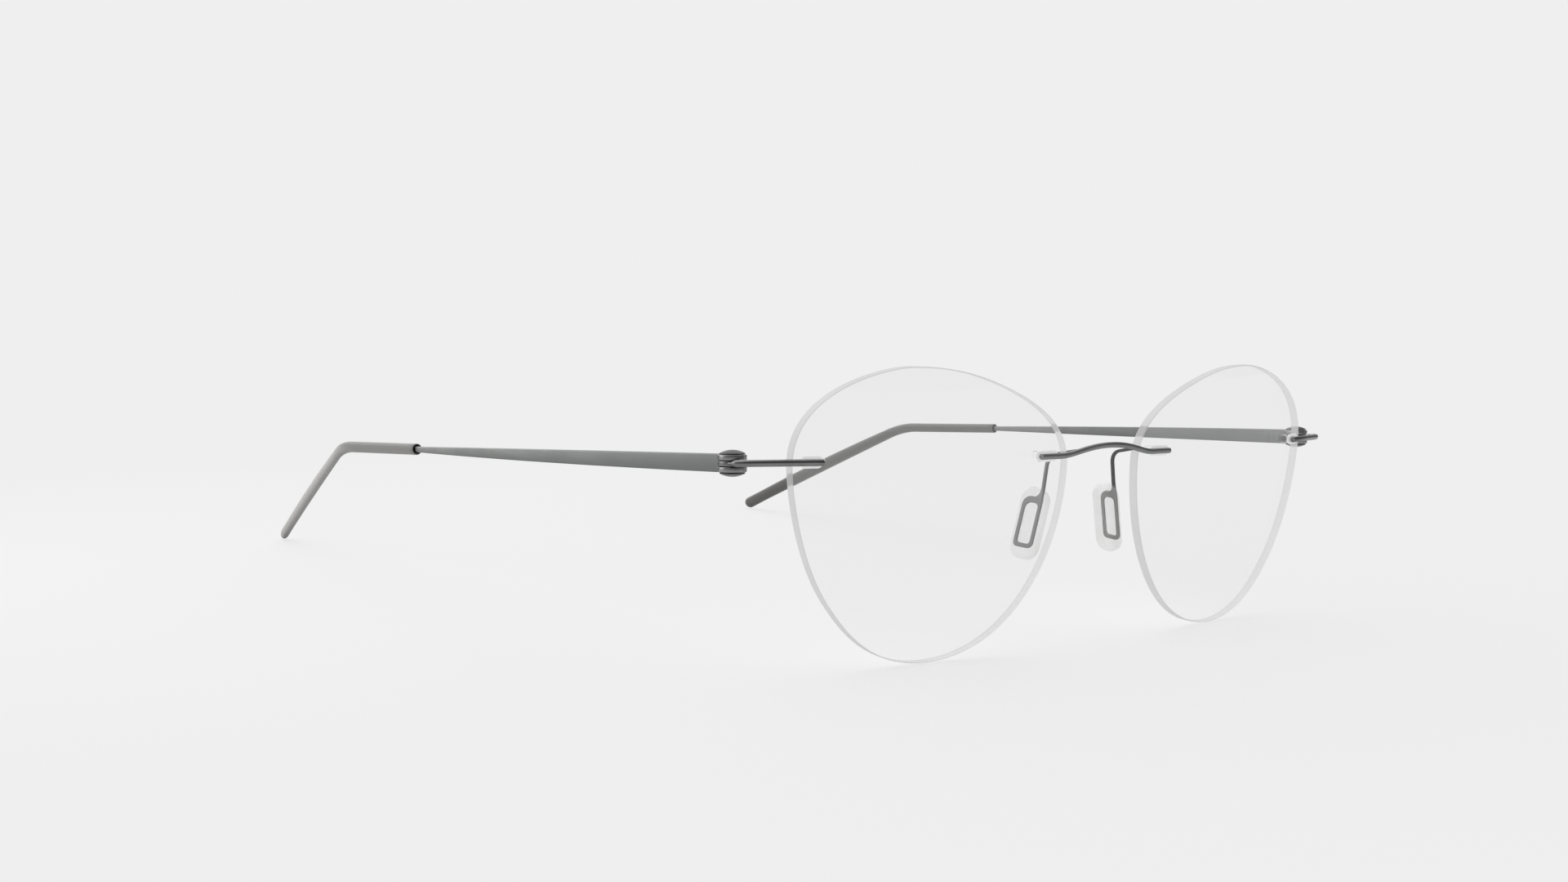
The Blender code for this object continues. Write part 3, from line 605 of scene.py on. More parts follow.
def lensOutline():
    # closed run of cubic curves through the outline's points
    curves = []
    rows = lensShape["outline"]
    for (x, y, angle, _, after), (nextX, nextY, nextAngle, before, _) in zip(rows, rows[1:] + rows[:1]):
        start = np.array([x, y])
        end = np.array([nextX, nextY])
        leave = after * np.array([np.cos(np.radians(angle)), np.sin(np.radians(angle))])
        arrive = before * np.array([np.cos(np.radians(nextAngle)), np.sin(np.radians(nextAngle))])
        curves.append(bezier(start, start + leave, end - arrive, end, lensShape["segment"]))
    return np.concatenate(curves)


def lensFrame(hand):
    # middle of the lens front, and its axes: along the lens, up it, out of its front
    wrap = turn(2, hand * np.radians(lensShape["wrap"]))
    tilt = turn(0, np.radians(lensShape["tilt"]))
    return tilt @ np.array([hand * lensShape["centre"], 0, 0]), tilt @ wrap @ turn(0, np.pi / 2)


def mountFrame(hand, outward):
    # a slot's place on the lens front, and its axes: along the slot, across it, square out of the lens
    middle, axes = lensFrame(hand)
    radius = lensShape["radius"]
    deep = np.sqrt(radius**2 - outward**2 - mountShape["height"] ** 2)
    normal = np.array([hand * outward, mountShape["height"], deep]) / radius
    along = unit(np.cross([0.0, 1.0, 0.0], normal))
    local = np.array([hand * outward, mountShape["height"], deep - radius])
    return middle + axes @ local, axes @ np.stack([along, np.cross(normal, along), normal], 1)


def stadium(length, width, count):
    # points round a slot: two half circles joined by straight sides
    angle = np.linspace(-np.pi / 2, 1.5 * np.pi, count, endpoint=False)
    shift = np.where(np.arange(count) < count // 2, 1.0, -1.0) * (length - width) / 2
    return np.stack([np.cos(angle) * width / 2 + shift, np.sin(angle) * width / 2], -1)


def slotLength(outward):
    # the flange's length less its inset at both ends
    flange = mountShape["flangeTemporal"] if outward > 0 else mountShape["flangeNasal"]
    return flange - 2 * mountShape["inset"]


def cutSlots(lens, hand):
    # the two slots through a lens, cut by upright slot-shaped solids that are then removed
    cutters = []
    for outward in (mountShape["temporal"], mountShape["nasal"]):
        place, axes = mountFrame(hand, outward)
        width = mountShape["flangeWidth"] - 2 * mountShape["inset"] + 2 * mountShape["gap"]
        ring = stadium(slotLength(outward) + 2 * mountShape["gap"], width, mountShape["slotSides"])
        grid = pinched(place + layered([ring, ring], np.array(mountShape["cutLevels"])) @ axes.T)
        mesh = bpy.data.meshes.new("slotCutter")
        mesh.from_pydata(toRow(grid.reshape(-1, 3)).tolist(), [], gridFaces(grid, False).tolist())
        mesh.materials.append(clearInside)
        weld(mesh)
        cutter = bpy.data.objects.new("slotCutter", mesh)
        scene.collection.objects.link(cutter)
        cutters.append(cutter)
        cut = lens.modifiers.new("slot", "BOOLEAN")
        cut.object = cutter
        cut.operation = "DIFFERENCE"
        cut.material_mode = "TRANSFER"
    bpy.context.view_layer.update()
    graph = bpy.context.evaluated_depsgraph_get()
    lens.data = bpy.data.meshes.new_from_object(lens.evaluated_get(graph))
    lens.modifiers.clear()
    lens.data.shade_smooth()
    lens.data.set_sharp_from_angle(angle=seams["lensSharp"])
    for cutter in cutters:
        bpy.data.objects.remove(cutter)


def makeLens(name, hand):
    # shares of the outline, each at its depth: ball-shaped front out to the rim, bevel, edge, bevel, back
    rim = lensOutline() * [hand * lensShape["fit"], lensShape["fit"]]
    reach = np.linalg.norm(rim, axis=1)
    bevel = lensShape["bevel"]
    thick = lensShape["thickness"]
    row = lensShape["edgeRow"]
    edge = [bevel, row, thick - row, thick - bevel]
    share = np.linspace(0, 1, lensShape["rings"] + 1)[:, None] * (1 - bevel / reach)
    steps = len(share)
    wide = np.concatenate([share, np.ones((len(edge), len(rim))), share[::-1]])
    front = np.sqrt(lensShape["radius"] ** 2 - (wide * reach) ** 2) - lensShape["radius"]
    drop = np.concatenate([np.zeros(steps), edge, np.full(steps, thick)])
    local = np.concatenate([wide[..., None] * rim, (front - drop[:, None])[..., None]], -1)
    middle, axes = lensFrame(hand)
    marks = np.zeros(len(wide) - 1, int)
    marks[steps - 1:steps + len(edge)] = 1
    grid = (middle + local @ axes.T, False, marks)
    lens = addPiece("lensGlass_" + name, "lens_" + name, [grid], [clearGlass, groundEdge])
    cutSlots(lens, hand)


for name, hand in hands.items():
    makeLens(name, hand)
print("lenses made")


def makeBushing(name, hand, place, outward, pinAt):
    # slot-shaped rings from the bore's mouth over the rounded flange and down the plug, back up the bore
    count = mountShape["flangeSides"]
    gap = mountShape["gap"]
    top = gap + mountShape["flangeThick"]
    foot = -lensShape["thickness"] - mountShape["proud"]
    grow = mountShape["inset"]
    curve = mountShape["flangeRound"]
    turns = np.linspace(0, np.pi / 2, 6)
    flange = np.stack([grow - curve * (1 - np.sin(turns)), top - curve * (1 - np.cos(turns))], 1)
    soft = mountShape["flangeBack"]
    bevel = mountShape["footBevel"]
    rest = np.array([[grow, gap + soft], [grow - soft, gap], [0, gap], [0, foot + bevel], [-bevel, foot]])
    levels = np.concatenate([flange, rest])
    length = slotLength(outward)
    width = mountShape["flangeWidth"] - 2 * mountShape["inset"]
    # the flange at the temple stops short towards the nose
    flangeRows = len(turns) + 2
    trim = np.where(np.arange(len(levels)) < flangeRows, mountShape["flangeTrim"] * (outward > 0), 0)
    rings = [stadium(length + 2 * out - cut, width + 2 * out, count) + [hand * cut / 2, 0]
             for out, cut in zip(levels[:, 0], trim)]
    angle = np.linspace(-np.pi / 2, 1.5 * np.pi, count, endpoint=False)
    hole = np.stack([np.cos(angle), np.sin(angle)], -1) * (mountShape["pinRadius"] + gap) + [pinAt, 0]
    heights = np.concatenate([levels[:, 1], [foot, top]])
    local = layered(rings + [hole, hole], heights)
    middle, axes = mountFrame(hand, outward)
    node = "lens_bushing_" + place + "_" + name
    marks = np.where(np.arange(len(heights)) < flangeRows, 0, 1)
    marks[-1] = 0
    grid = (middle + local @ axes.T, True, marks)
    addPiece("bushing_" + place + "_" + name, node, [grid], [bushingPlastic, clearInside])


def mountPin(hand, outward, pinAt, top):
    # short pin from inside the wire down through the bushing, its foot in a clear sleeve
    middle, axes = mountFrame(hand, outward)
    radius = mountShape["pinRadius"]
    foot = -lensShape["thickness"]
    bevel = mountShape["pinBevel"]
    profile = [(0, top), (radius, top), (radius, mountShape["pinClearFrom"])]
    profile += [(radius, foot + bevel), (radius - bevel, foot), (0, foot)]
    marks = np.array([0, 0, 1, 1, 1])
    centre = middle + axes @ np.array([pinAt, 0, 0])
    return lathe(profile, mountShape["pinSides"], centre, axes), False, marks


def wireHeight(radius):
    # middle of a wire over the lens front: a gap, the flange, a gap and the wire's radius
    return 2 * mountShape["gap"] + mountShape["flangeThick"] + radius


# bridge
bridgeShape = {
    "radius": 0.429,
    "crown": (0.0, -3.35, 9.22),
    "crownHandle": 5.4,
    "footHandle": 2.95,
    "end": 1.83,
    "straightTo": -2.3,
    "edge": 0.06,
    "archSteps": 28,
    "step": 0.6,
    "sides": 28,
}


def bridgeLine():
    # half an arch from the crown to the lens, straight along the lens, and its mirror image
    height = wireHeight(bridgeShape["radius"])
    middle, axes = mountFrame(1.0, mountShape["nasal"])
    end = middle + axes @ np.array([bridgeShape["end"], 0, height])
    foot = middle + axes @ np.array([bridgeShape["straightTo"], 0, height])
    crown = np.array(bridgeShape["crown"])
    handle = crown + np.array([bridgeShape["crownHandle"], 0, 0])
    footHandle = foot + unit(foot - end) * bridgeShape["footHandle"]
    arch = bezier(crown, handle, footHandle, foot, bridgeShape["archSteps"])
    half = np.concatenate([arch, spaced(np.stack([foot, end]), bridgeShape["step"])])
    return np.concatenate([half[::-1] * [-1, 1, 1], half[1:]])


def makeBridge():
    # round wire along the bridge's line, with a pin near each end and the bushings for these
    line, radii = softened(bridgeLine(), bridgeShape["radius"], bridgeShape["edge"])
    grids = [(pinched(roundTube(line, radii, bridgeShape["sides"])), False, 0)]
    for name, hand in hands.items():
        pinAt = hand * (bridgeShape["end"] - mountShape["pinBack"])
        grids.append(mountPin(hand, mountShape["nasal"], pinAt, wireHeight(bridgeShape["radius"])))
        makeBushing(name, hand, "nasal", mountShape["nasal"], pinAt)
    addPiece("bridgeWire", "bridge", grids, [bridgeMetal, clearInside])


makeBridge()
print("bridge made")


# hinges and end pieces
hingeShape = {
    "centre": (64.06, 7.84, 8.34),
    "ring": 1.92,
    "bore": 0.80,
    "height": 0.70,
    "gap": 0.09,
    "edge": 0.12,
    "pin": 0.75,
    "dome": 1.71,
    "domeHigh": 0.56,
    "domeRim": 0.10,
    "socket": 0.34,
    "pinShort": 0.04,
    "seatGap": 0.03,
    "sides": 72,
}
endShape = {
    "radius": 0.47,
    "end": 1.05,
    "bend": 4.0,
    "entry": 1.42,
    "thin": 0.22,
    "edge": 0.06,
    "bendSteps": 20,
    "step": 0.5,
    "sides": 28,
}


def hingeCentre(hand):
    # middle of the middle ring
    return np.array(hingeShape["centre"]) * [hand, 1, 1]


def ringGrid(hand, level):
    # hinge ring between two levels, its outer edges rounded over a quarter turn
    low = level - hingeShape["height"] / 2
    high = level + hingeShape["height"] / 2
    edge = hingeShape["edge"]
    turns = np.linspace(0, np.pi / 2, 5)
    outer = hingeShape["ring"] - edge
    upper = np.stack([outer + edge * np.sin(turns), high - edge * (1 - np.cos(turns))], 1)
    lower = np.stack([outer + edge * np.cos(turns), low + edge * (1 - np.sin(turns))], 1)
    bore = hingeShape["bore"]
    inner = np.array([[bore, low], [bore, high]])
    return lathe(np.concatenate([upper, lower, inner]), hingeShape["sides"], hingeCentre(hand)), True, 0


def domeLine(base, top):
    # ball-shaped end from the middle of its top to a short upright rim
    rise = abs(top - base) - hingeShape["domeRim"]
    ball = (hingeShape["dome"] ** 2 + rise**2) / (2 * rise)
    angle = np.linspace(0, np.arcsin(hingeShape["dome"] / ball), 12)
    arch = np.stack([ball * np.sin(angle), top - np.sign(top - base) * ball * (1 - np.cos(angle))], 1)
    return np.concatenate([arch, [[hingeShape["dome"], base]]])


def makeHinge(name, hand):
    # turned profiles: a domed head on a shaft through the rings, and a domed cap with a seat for its foot
    base = 1.5 * hingeShape["height"] + 2 * hingeShape["gap"]
    top = base + hingeShape["domeHigh"]
    deep = -base - hingeShape["socket"]
    pin = hingeShape["pin"]
    tip = deep + hingeShape["pinShort"]
    shaft = np.concatenate([domeLine(base, top), [[pin, base], [pin, tip], [0, tip]]])
    pinGrid = (lathe(shaft, hingeShape["sides"], hingeCentre(hand)), False, 0)
    addPiece("hingePin_" + name, "hinge_pin_" + name, [pinGrid], [domeMetal])
    hole = pin + hingeShape["seatGap"]
    seat = np.array([[0, deep], [hole, deep], [hole, -base]])
    cap = np.concatenate([seat, domeLine(-base, -top)[::-1]])
    capGrid = (lathe(cap, hingeShape["sides"], hingeCentre(hand)), False, 0)
    addPiece("hingeCap_" + name, "hinge_cap_" + name, [capGrid], [domeMetal])


def makeEndPiece(name, hand):
    # wire along the lens front, round one bend and back into the hinge's middle ring, thinned inside it
    height = wireHeight(endShape["radius"])
    middle, axes = mountFrame(hand, mountShape["temporal"])
    start = middle + axes @ np.array([-hand * endShape["end"], 0, height])
    ahead = middle + axes @ np.array([0, 0, height]) - start
    centre = hingeCentre(hand)
    entry = centre + [hand * endShape["entry"], 0, 0]
    corner = start + ahead * (entry[0] - start[0]) / ahead[0]
    line = cornerPath(np.stack([start, corner, entry]), [endShape["bend"]], endShape["bendSteps"])
    line, radii = softened(spaced(line, endShape["step"]), endShape["radius"], endShape["edge"])
    clear = np.linalg.norm((line - centre)[:, :2], axis=1) - hingeShape["ring"]
    share = np.clip(clear / endShape["radius"], 0, 1)
    radii = endShape["thin"] + share * (radii - endShape["thin"])
    pinAt = hand * (mountShape["pinBack"] - endShape["end"])
    grids = [
        (pinched(roundTube(line, radii, endShape["sides"])), False, 0),
        ringGrid(hand, 0.0),
        mountPin(hand, mountShape["temporal"], pinAt, height),
    ]
    addPiece("endWire_" + name, "end_piece_" + name, grids, [wireMetal, clearInside])
    makeBushing(name, hand, "temporal", mountShape["temporal"], pinAt)


for name, hand in hands.items():
    makeHinge(name, hand)
    makeEndPiece(name, hand)
print("hinges made")


# temples and their tips
bladeShape = {
    "thick": 0.80,
    "root": 2.48,
    "taper": (0.70, 0.90),
    "edge": 0.16,
    "clear": 2.02,
    "sag": 0.17,
    "core": 0.38,
    "coreRows": (0.8, 8.0, 15.0),
    "tongueRows": (1.05, 1.75, 2.42),
    "tongueLess": 0.04,
    "tongueEdge": 0.1,
    "mouth": (67.26, 81.20, 7.67),
    "bend": (66.21, 106.80, 7.20),
    "stations": 60,
}
tipShape = {
    "end": (56.58, 146.23, -10.90),
    "mouthRadius": 0.89,
    "bendRadii": (1.02, 0.75),
    "endRadii": (1.19, 0.78),
    "swell": (0.14, 0.04),
    "swellEnd": 0.86,
    "twist": -20.0,
    "arc": 17.0,
    "bow": 0.25,
    "round": 1.3,
    "mouthBore": 0.66,
    "mouthDeep": 0.8,
    "bore": 0.50,
    "lip": 0.08,
    "boreDeep": 3.0,
    "fit": 0.9994,
    "bendSteps": 24,
    "step": 1.5,
    "slopeRows": 24,
    "endRows": 12,
    "sides": 40,
}


def roundedSection(width, height, edge):
    # rectangle with quarter-round corners, one row for each width and height
    angle = np.linspace(0, np.pi / 2, 6)
    quarter = np.concatenate([angle + k * np.pi / 2 for k in range(4)])
    signX = np.repeat([1, -1, -1, 1], len(angle))
    signY = np.repeat([1, 1, -1, -1], len(angle))
    wide = signX * (np.asarray(width)[:, None] / 2 - edge) + edge * np.cos(quarter)
    high = signY * (np.asarray(height)[:, None] / 2 - edge) + edge * np.sin(quarter)
    return wide, high


def bladeLine(share):
    # bowed line from the hinge to the tip's mouth, arriving along the tip
    centre = np.array(hingeShape["centre"])
    mouth = np.array(bladeShape["mouth"]) - centre
    core = unit(np.array(bladeShape["bend"]) - np.array(bladeShape["mouth"]))
    control = mouth - core * mouth[1] / (2 * core[1])
    s = share[:, None]
    sag = 4 * s * (1 - s) * np.array([0, 0, bladeShape["sag"]])
    return centre + 2 * s * (1 - s) * control + s * s * mouth - sag, core, mouth[1]


def makeTemple(name, hand):
    # leaf: height root - a s - b s^2, s running from the hinge to the tip's mouth, then the thin core
    _, core, length = bladeLine(np.zeros(1))
    share = np.linspace(bladeShape["clear"] / length, 1, bladeShape["stations"])
    line, _, _ = bladeLine(share)
    height = bladeShape["root"] - bladeShape["taper"][0] * share - bladeShape["taper"][1] * share**2
    inside = np.array(bladeShape["coreRows"])
    line = np.concatenate([line, bladeShape["mouth"] + core * inside[:, None]])
    coreSize = np.full(len(inside), 2 * bladeShape["core"])
    height = np.concatenate([height, coreSize])
    thick = np.concatenate([np.full(len(share), bladeShape["thick"]), coreSize])
    blade = sweep(line, *roundedSection(thick, height, bladeShape["edge"]))
    grid = pinched(blade * [hand, 1, 1])
    # painted shade: the core's rows inside the tip's mouth take the near-black seat finish
    grids = [(grid, False, np.where(np.arange(len(grid) - 1) > bladeShape["stations"], 2, 0))]
    # two tongues join the blade to the upper and lower rings, clear of the middle ring
    tongueShare = np.array(bladeShape["tongueRows"]) / length
    level = hingeShape["height"] + hingeShape["gap"]
    tall = np.full(len(tongueShare), hingeShape["height"] - bladeShape["tongueLess"])
    wide = np.full(len(tongueShare), bladeShape["thick"])
    for upper in (1, -1):
        tongueLine = bladeLine(tongueShare)[0] + [0, 0, upper * level]
        tongue = sweep(tongueLine, *roundedSection(wide, tall, bladeShape["tongueEdge"]))
        grids.append((pinched(tongue * [hand, 1, 1]), False, 0))
        ring, loop, _ = ringGrid(hand, upper * level)
        grids.append((ring, loop, 1))
    finishes = [bladeMetal, hingeMetal, paintedShadeSeat]
    addPiece("templeBlade_" + name, "temple_" + name, grids, finishes)


def makeTip(name, hand):
    # round mouth to twisted oval: half-widths and twist grow over the bend, and a ball-like end closes it
    # half-width of the slope: first + (last - first) s + 4 swell u (1 - u), u = s / swellEnd held below 1
    mouth = np.array(bladeShape["mouth"])
    end = np.array(tipShape["end"])
    line = cornerPath(np.stack([mouth, bladeShape["bend"], end]), [tipShape["arc"]], tipShape["bendSteps"])
    straight = spaced(line[:2], tipShape["step"])
    slopeStart = line[-2]
    run = (end - slopeStart) * tipShape["fit"]
    length = np.linalg.norm(run)
    ball = tipShape["round"] / length
    # the ball's rows stop just short of its pole
    turns = np.linspace(0.1, np.pi / 2 - 0.04, tipShape["endRows"])
    slopeRows = np.linspace(0, 1 - ball, tipShape["slopeRows"])
    along = np.concatenate([slopeRows, 1 - (1 - np.sin(turns)) * ball])
    size = np.concatenate([np.ones(len(slopeRows)), np.cos(turns)])
    lift = np.cross(np.array([1.0, 0, 0]), unit(run))
    lift = lift * np.sign(lift[2])
    bow = 4 * tipShape["bow"] * along * (1 - along)
    slope = slopeStart + run * along[:, None] + lift * bow[:, None]
    arc = line[2:-2]
    path = np.concatenate([straight, arc, slope])
    growing = np.linspace(0, 1, len(arc) + 1)[1:]
    flat = np.concatenate([np.zeros(len(straight)), growing, np.ones(len(slope))])
    past = np.concatenate([np.zeros(len(straight) + len(arc)), along])
    size = np.concatenate([np.ones(len(straight) + len(arc)), size])
    full = np.clip(past / tipShape["swellEnd"], 0, 1)
    radii = []
    for first, last, swell in zip(tipShape["bendRadii"], tipShape["endRadii"], tipShape["swell"]):
        oval = first + past * (last - first) + 4 * swell * full * (1 - full)
        radii.append(size * (tipShape["mouthRadius"] + flat * (oval - tipShape["mouthRadius"])))
    angle = np.linspace(0, 2 * np.pi, tipShape["sides"], endpoint=False)
    narrow = radii[1][:, None] * np.cos(angle)
    broad = radii[0][:, None] * np.sin(angle)
    twist = np.radians(tipShape["twist"]) * flat[:, None]
    sideways = narrow * np.cos(twist) + broad * np.sin(twist)
    outer = sweep(path, sideways, broad * np.cos(twist) - narrow * np.sin(twist))
    # the open mouth: a rounded lip, a wide seat and the bore behind it
    core = unit(path[1] - path[0])
    lip = tipShape["lip"]
    mouthDeep = tipShape["mouthDeep"]
    deep = np.array([tipShape["boreDeep"], mouthDeep, mouthDeep, lip, 0.0, 0.0, lip * 0.3])
    bore = tipShape["bore"]
    hole = tipShape["mouthBore"]
    rim = tipShape["mouthRadius"]
    wide = np.array([bore, bore, hole, hole, hole + lip * 0.7, rim - lip, rim - lip * 0.3])
    seat = path[0] + core * deep[:, None]
    across = unit(np.cross(core, [0, 0, 1.0]))
    up = np.cross(across, core)
    circle = np.cos(angle)[:, None] * across + np.sin(angle)[:, None] * up
    inner = seat[:, None] + wide[:, None, None] * circle
    outer[0] += core * lip
    grid = pinched(np.concatenate([inner, outer]) * [hand, 1, 1])
    # painted shade: the bore and seat inside the mouth take the near-black finish
    marks = np.zeros(len(grid) - 1, int)
    marks[:4] = 1
    grids = [(grid, False, marks)]
    addPiece("tipSleeve_" + name, "temple_tip_" + name, grids, [tipGrey, paintedShadeSeat])


for name, hand in hands.items():
    makeTemple(name, hand)
    makeTip(name, hand)
print("temples made")


# nose pads on their loops, whose outline is given as back and up from the loop's middle
padShape = {
    "centre": (9.607, 4.48, -2.35),
    "splay": 13.6,
    "lean": 5.4,
    "toe": 8.4,
    "loopLow": (-1.7, -3.7),
    "loopHigh": (1.7, 4.05),
    "loopCorners": (1.5, 0.3, 1.0, 0.65),
    "windowLow": (-1.13, -3.06),
    "windowHigh": (1.14, 3.10),
    "windowCorners": (1.0, 0.6, 0.5, 0.42),
    "thick": 0.40,
    "edge": 0.07,
    "armWide": 0.49,
    "armThick": 0.43,
    "armFoot": (-1.41, 3.6),
    "armPlaces": [(8.129, 2.732, 2.90), (7.378, 2.481, 7.70), (6.80, -3.03, 8.58)],
    "armBends": (6.0, 2.0),
    "armFillet": 1.3,
    "armSteps": 16,
    "armStep": 0.12,
    "loopSteps": 9,
    "wide": 4.5,
    "high": 10.9,
    "corner": 2.05,
    "back": 0.10,
    "front": 1.79,
    "round": 0.85,
    "backRound": 0.85 / 3,
    "crown": 0.06,
    "cornerSteps": 10,
}


def padFrame(hand):
    # loop's middle, and its axes: backwards, up, and out of the nose on the left or into it on the right
    splay, lean, toe = np.tan(np.radians([padShape["splay"], padShape["lean"], padShape["toe"]]))
    up = unit(np.array([-hand * splay, -lean, 1.0]))
    back = np.array([hand * toe, 1.0, 0.0])
    back = unit(back - up * (back @ up))
    middle = np.array(padShape["centre"]) * [hand, 1, 1]
    return middle, np.stack([back, up, np.cross(back, up)], 1)


def roundedBox(low, high, corners, inset, steps):
    # points round a rectangle drawn in by an inset, each corner a quarter circle of its own radius
    angle = np.concatenate([np.linspace(k, k + 1, steps) for k in range(4)]) * np.pi / 2
    radius = np.repeat(np.broadcast_to(corners, 4) - inset, steps)
    signX = np.repeat([1, -1, -1, 1], steps)
    signY = np.repeat([1, 1, -1, -1], steps)
    x = np.where(signX > 0, high[0], low[0]) - signX * (inset + radius) + radius * np.cos(angle)
    y = np.where(signY > 0, high[1], low[1]) - signY * (inset + radius) + radius * np.sin(angle)
    return np.stack([x, y], -1)


def loopOutline(inset):
    # the loop's outside, drawn in by an inset
    shape = padShape["loopLow"], padShape["loopHigh"], padShape["loopCorners"]
    return roundedBox(*shape, inset, padShape["loopSteps"])


def windowOutline(inset):
    # the loop's inside, widened by an inset
    shape = padShape["windowLow"], padShape["windowHigh"], padShape["windowCorners"]
    return roundedBox(*shape, -inset, padShape["loopSteps"])


def makePadArm(name, hand):
    # flat loop: a band between its outline and its window, with softened edges
    middle, axes = padFrame(hand)
    half = padShape["thick"] / 2
    edge = padShape["edge"]
    rings = [loopOutline(0), loopOutline(0), loopOutline(edge), windowOutline(edge)]
    rings += [windowOutline(0), windowOutline(0), windowOutline(edge), loopOutline(edge)]
    levels = np.array([edge - half, half - edge, half, half, half - edge, edge - half, -half, -half])
    loop = middle + layered(rings, levels) @ axes.T
    # arm: a flat strip up from the loop and round a bend to the bridge, its foot widened by a quarter round
    foot = middle + axes @ np.append(padShape["armFoot"], 0)
    places = np.array([foot] + [np.array(place) * [hand, 1, 1] for place in padShape["armPlaces"]])
    line = spaced(cornerPath(places, padShape["armBends"], padShape["armSteps"]), padShape["armStep"])
    square = unit(np.cross(places[2] - places[1], places[3] - places[2]))
    fillet = padShape["armFillet"]
    below = np.clip(fillet + padShape["loopHigh"][1] - (line - middle) @ axes[:, 1], 0, fillet)
    flare = fillet - np.sqrt(fillet**2 - below**2)
    armWide = np.full(len(line), padShape["armWide"])
    armThick = np.full(len(line), padShape["armThick"])
    wide, thick = roundedSection(armWide, armThick, edge)
    wide = np.where(wide > 0, wide + flare[:, None], wide)
    grids = [(loop, True, 0), (pinched(sweep(line, wide, thick, square)), False, 0)]
    addPiece("padArmStrip_" + name, "pad_arm_" + name, grids, [stripMetal])


def makeNosePad(name, hand):
    # rounded boxes from the loop side to the nose side: inset by a quarter round at each, the face crowned
    middle, axes = padFrame(hand)
    turns = np.linspace(0, np.pi / 2, 9)
    big = padShape["round"]
    small = padShape["backRound"]
    inset = np.concatenate([small * (1 - np.sin(turns)), big * (1 - np.cos(turns))])
    backDeep = small * (1 - np.cos(turns)) - padShape["back"]
    deep = np.concatenate([backDeep, padShape["front"] - big * (1 - np.sin(turns))])
    high = np.array([padShape["wide"], padShape["high"]]) / 2
    rings = [roundedBox(-high, high, padShape["corner"], i, padShape["cornerSteps"]) for i in inset]
    face = np.linspace(0, 1, 7)[1:-1]
    rings += [rings[-1] * (1 - share) for share in face]
    deep = np.concatenate([deep, padShape["front"] + padShape["crown"] * (1 - (1 - face) ** 2)])
    grid = (pinched(middle + layered(rings, -hand * deep) @ axes.T), False, 0)
    pad = addPiece("nosePadSoft_" + name, "nose_pad_" + name, [grid], [silicone])


for name, hand in hands.items():
    makePadArm(name, hand)
    makeNosePad(name, hand)
print("nose pads made")


# floor, background and lights
studio = {
    "pale": (0.863, 0.863, 0.863, 1.0),
    "skyFront": 0.18,
    "skyBack": 1.0,
    "skyRise": (0.0, 0.85),
    "skyAxis": (0.0, 0.94, 0.34),
    "floorTone": 0.91,
    "floorShare": 0.2,
    "floorFade": (0.11, 0.22),
    "floorBounce": 0.45,
    "floorHalf": 4.0,
    "floorDrop": 0.0002,
    "lampAim": (0.0, -0.03, 0.02),
    "lamps": [
        {"place": (0.10, 0.45, 0.80), "size": 1.8, "power": 8.0},
        {"place": (-0.22, 0.10, 0.09), "size": 0.12, "power": 0.10},
    ],
}


def anyRay(shade, kinds):
    # 1 for rays of any of these kinds
    share = shade.node("ShaderNodeLightPath", None, None, kinds[0])
    for kind in kinds[1:]:
        share = share.math("MAXIMUM", share, shade.node("ShaderNodeLightPath", None, None, kind))
    return share


def setBackground():
    # light strongest from behind and above; the camera, also through glass, sees an even pale tone
    world = bpy.data.worlds.new("paleRoom")
    world.use_nodes = True
    scene.world = world
    tree = world.node_tree
    shade = Shade(tree)
    toward = {0: shade.node("ShaderNodeTexCoord"), 1: studio["skyAxis"]}
    behind = shade.node("ShaderNodeVectorMath", {"operation": "DOT_PRODUCT"}, toward, 1)
    front = shade.node("ShaderNodeBackground", None, {0: grey(1.0), 1: studio["skyFront"]})
    back = shade.node("ShaderNodeBackground", None, {0: grey(1.0), 1: studio["skyBack"]})
    rise = behind.spread(*studio["skyRise"])
    light = shade.node("ShaderNodeMixShader", None, {0: rise, 1: front, 2: back})
    pale = shade.node("ShaderNodeBackground", None, {0: studio["pale"], 1: 1.0})
    seen = anyRay(shade, ["Is Camera Ray", "Is Transmission Ray"])
    mixed = shade.node("ShaderNodeMixShader", None, {0: seen, 1: light, 2: pale})
    tree.links.new(mixed.socket, tree.nodes["World Output"].inputs["Surface"])


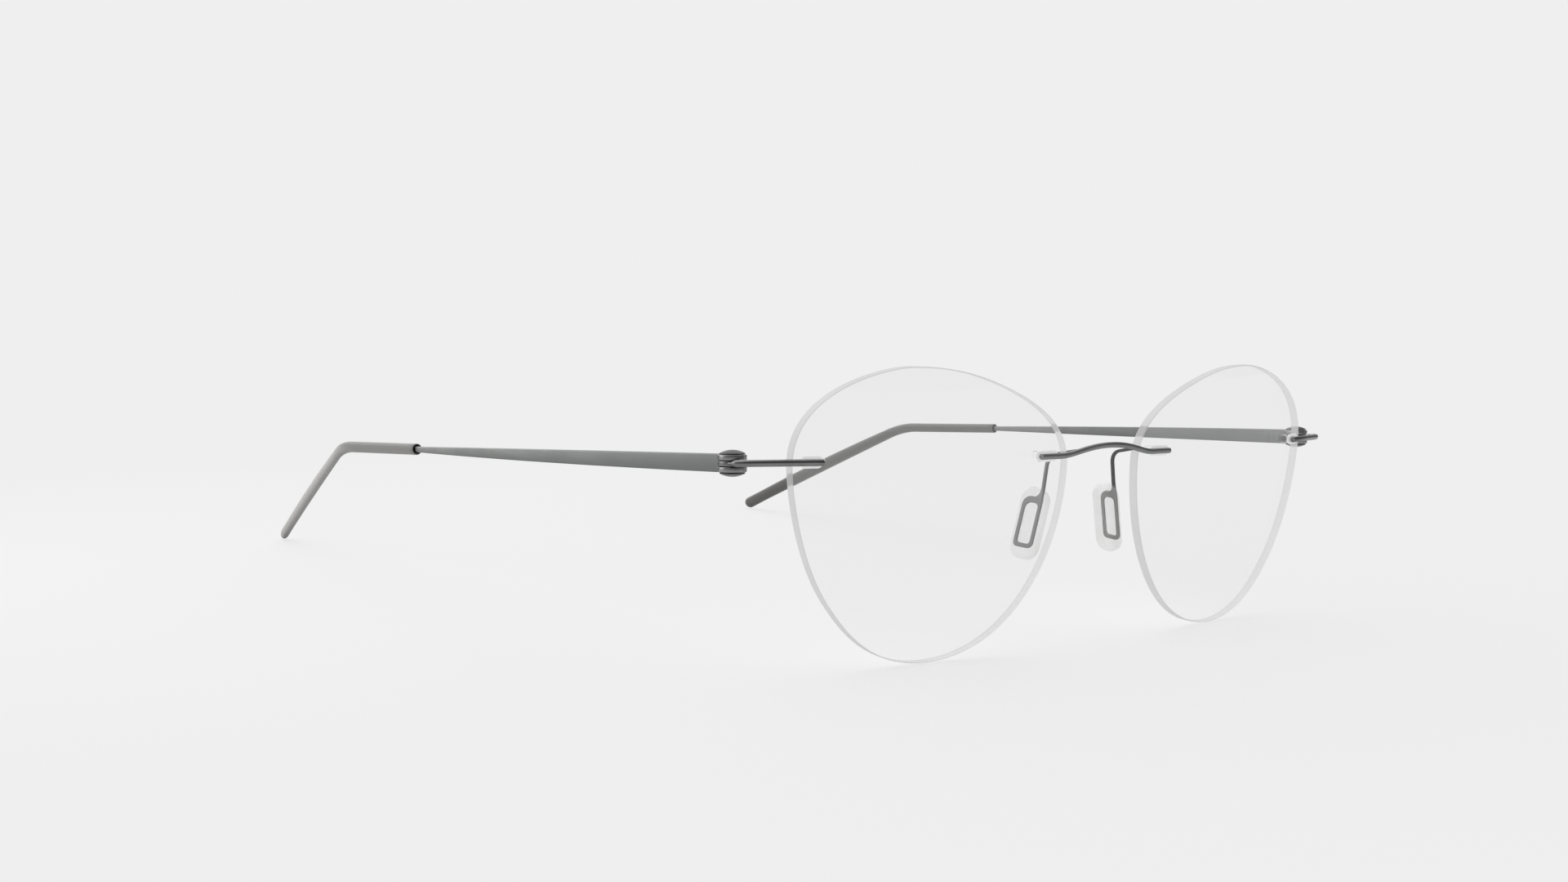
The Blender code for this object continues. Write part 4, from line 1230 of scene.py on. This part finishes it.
def setFloor():
    # a wide pale sheet that takes the shadow near the object and fades into the background
    material = bpy.data.materials.new("paleFloor")
    material.use_nodes = True
    tree = material.node_tree
    tree.nodes.remove(tree.nodes["Principled BSDF"])
    shade = Shade(tree)
    place = shade.node("ShaderNodeTexCoord", None, None, 3)
    away = shade.node("ShaderNodeVectorMath", {"operation": "LENGTH"}, {0: place}, 1)
    lit = shade.node("ShaderNodeBsdfDiffuse", None, {"Color": grey(studio["floorTone"])})
    plain = shade.node("ShaderNodeEmission", None, {"Color": studio["pale"], "Strength": 1.0})
    share = (1 - away.spread(*studio["floorFade"])) * studio["floorShare"]
    pale = shade.node("ShaderNodeMixShader", None, {0: share, 1: plain, 2: lit})
    # light thrown back up at the object is weaker than the tone that is seen
    bounce = shade.node("ShaderNodeBsdfDiffuse", None, {"Color": grey(studio["floorBounce"])})
    seen = anyRay(shade, ["Is Camera Ray", "Is Glossy Ray", "Is Transmission Ray"])
    mixed = shade.node("ShaderNodeMixShader", None, {0: seen, 1: bounce, 2: pale})
    tree.links.new(mixed.socket, tree.nodes["Material Output"].inputs["Surface"])
    mesh = bpy.data.meshes.new("paleFloor")
    half = studio["floorHalf"]
    corners = [(-half, -half, 0), (half, -half, 0), (half, half, 0), (-half, half, 0)]
    mesh.from_pydata(corners, [], [(0, 1, 2, 3)])
    mesh.materials.append(material)
    floor = bpy.data.objects.new("paleFloor", mesh)
    scene.collection.objects.link(floor)
    floor.location.z = -studio["floorDrop"]


def setLamps():
    for lamp in studio["lamps"]:
        data = bpy.data.lights.new("softLamp", "AREA")
        data.shape = "DISK"
        data.size = lamp["size"]
        data.energy = lamp["power"]
        light = bpy.data.objects.new("softLamp", data)
        scene.collection.objects.link(light)
        back = unit(np.array(lamp["place"]) - studio["lampAim"])
        right = unit(np.cross([0, 0, 1.0], back))
        pose = np.eye(4)
        pose[:3, :3] = np.stack([right, np.cross(back, right), back], 1)
        pose[:3, 3] = lamp["place"]
        light.matrix_world = Matrix(pose.tolist())


setBackground()
setFloor()
setLamps()
scene.view_settings.view_transform = "Standard"
print("studio set")
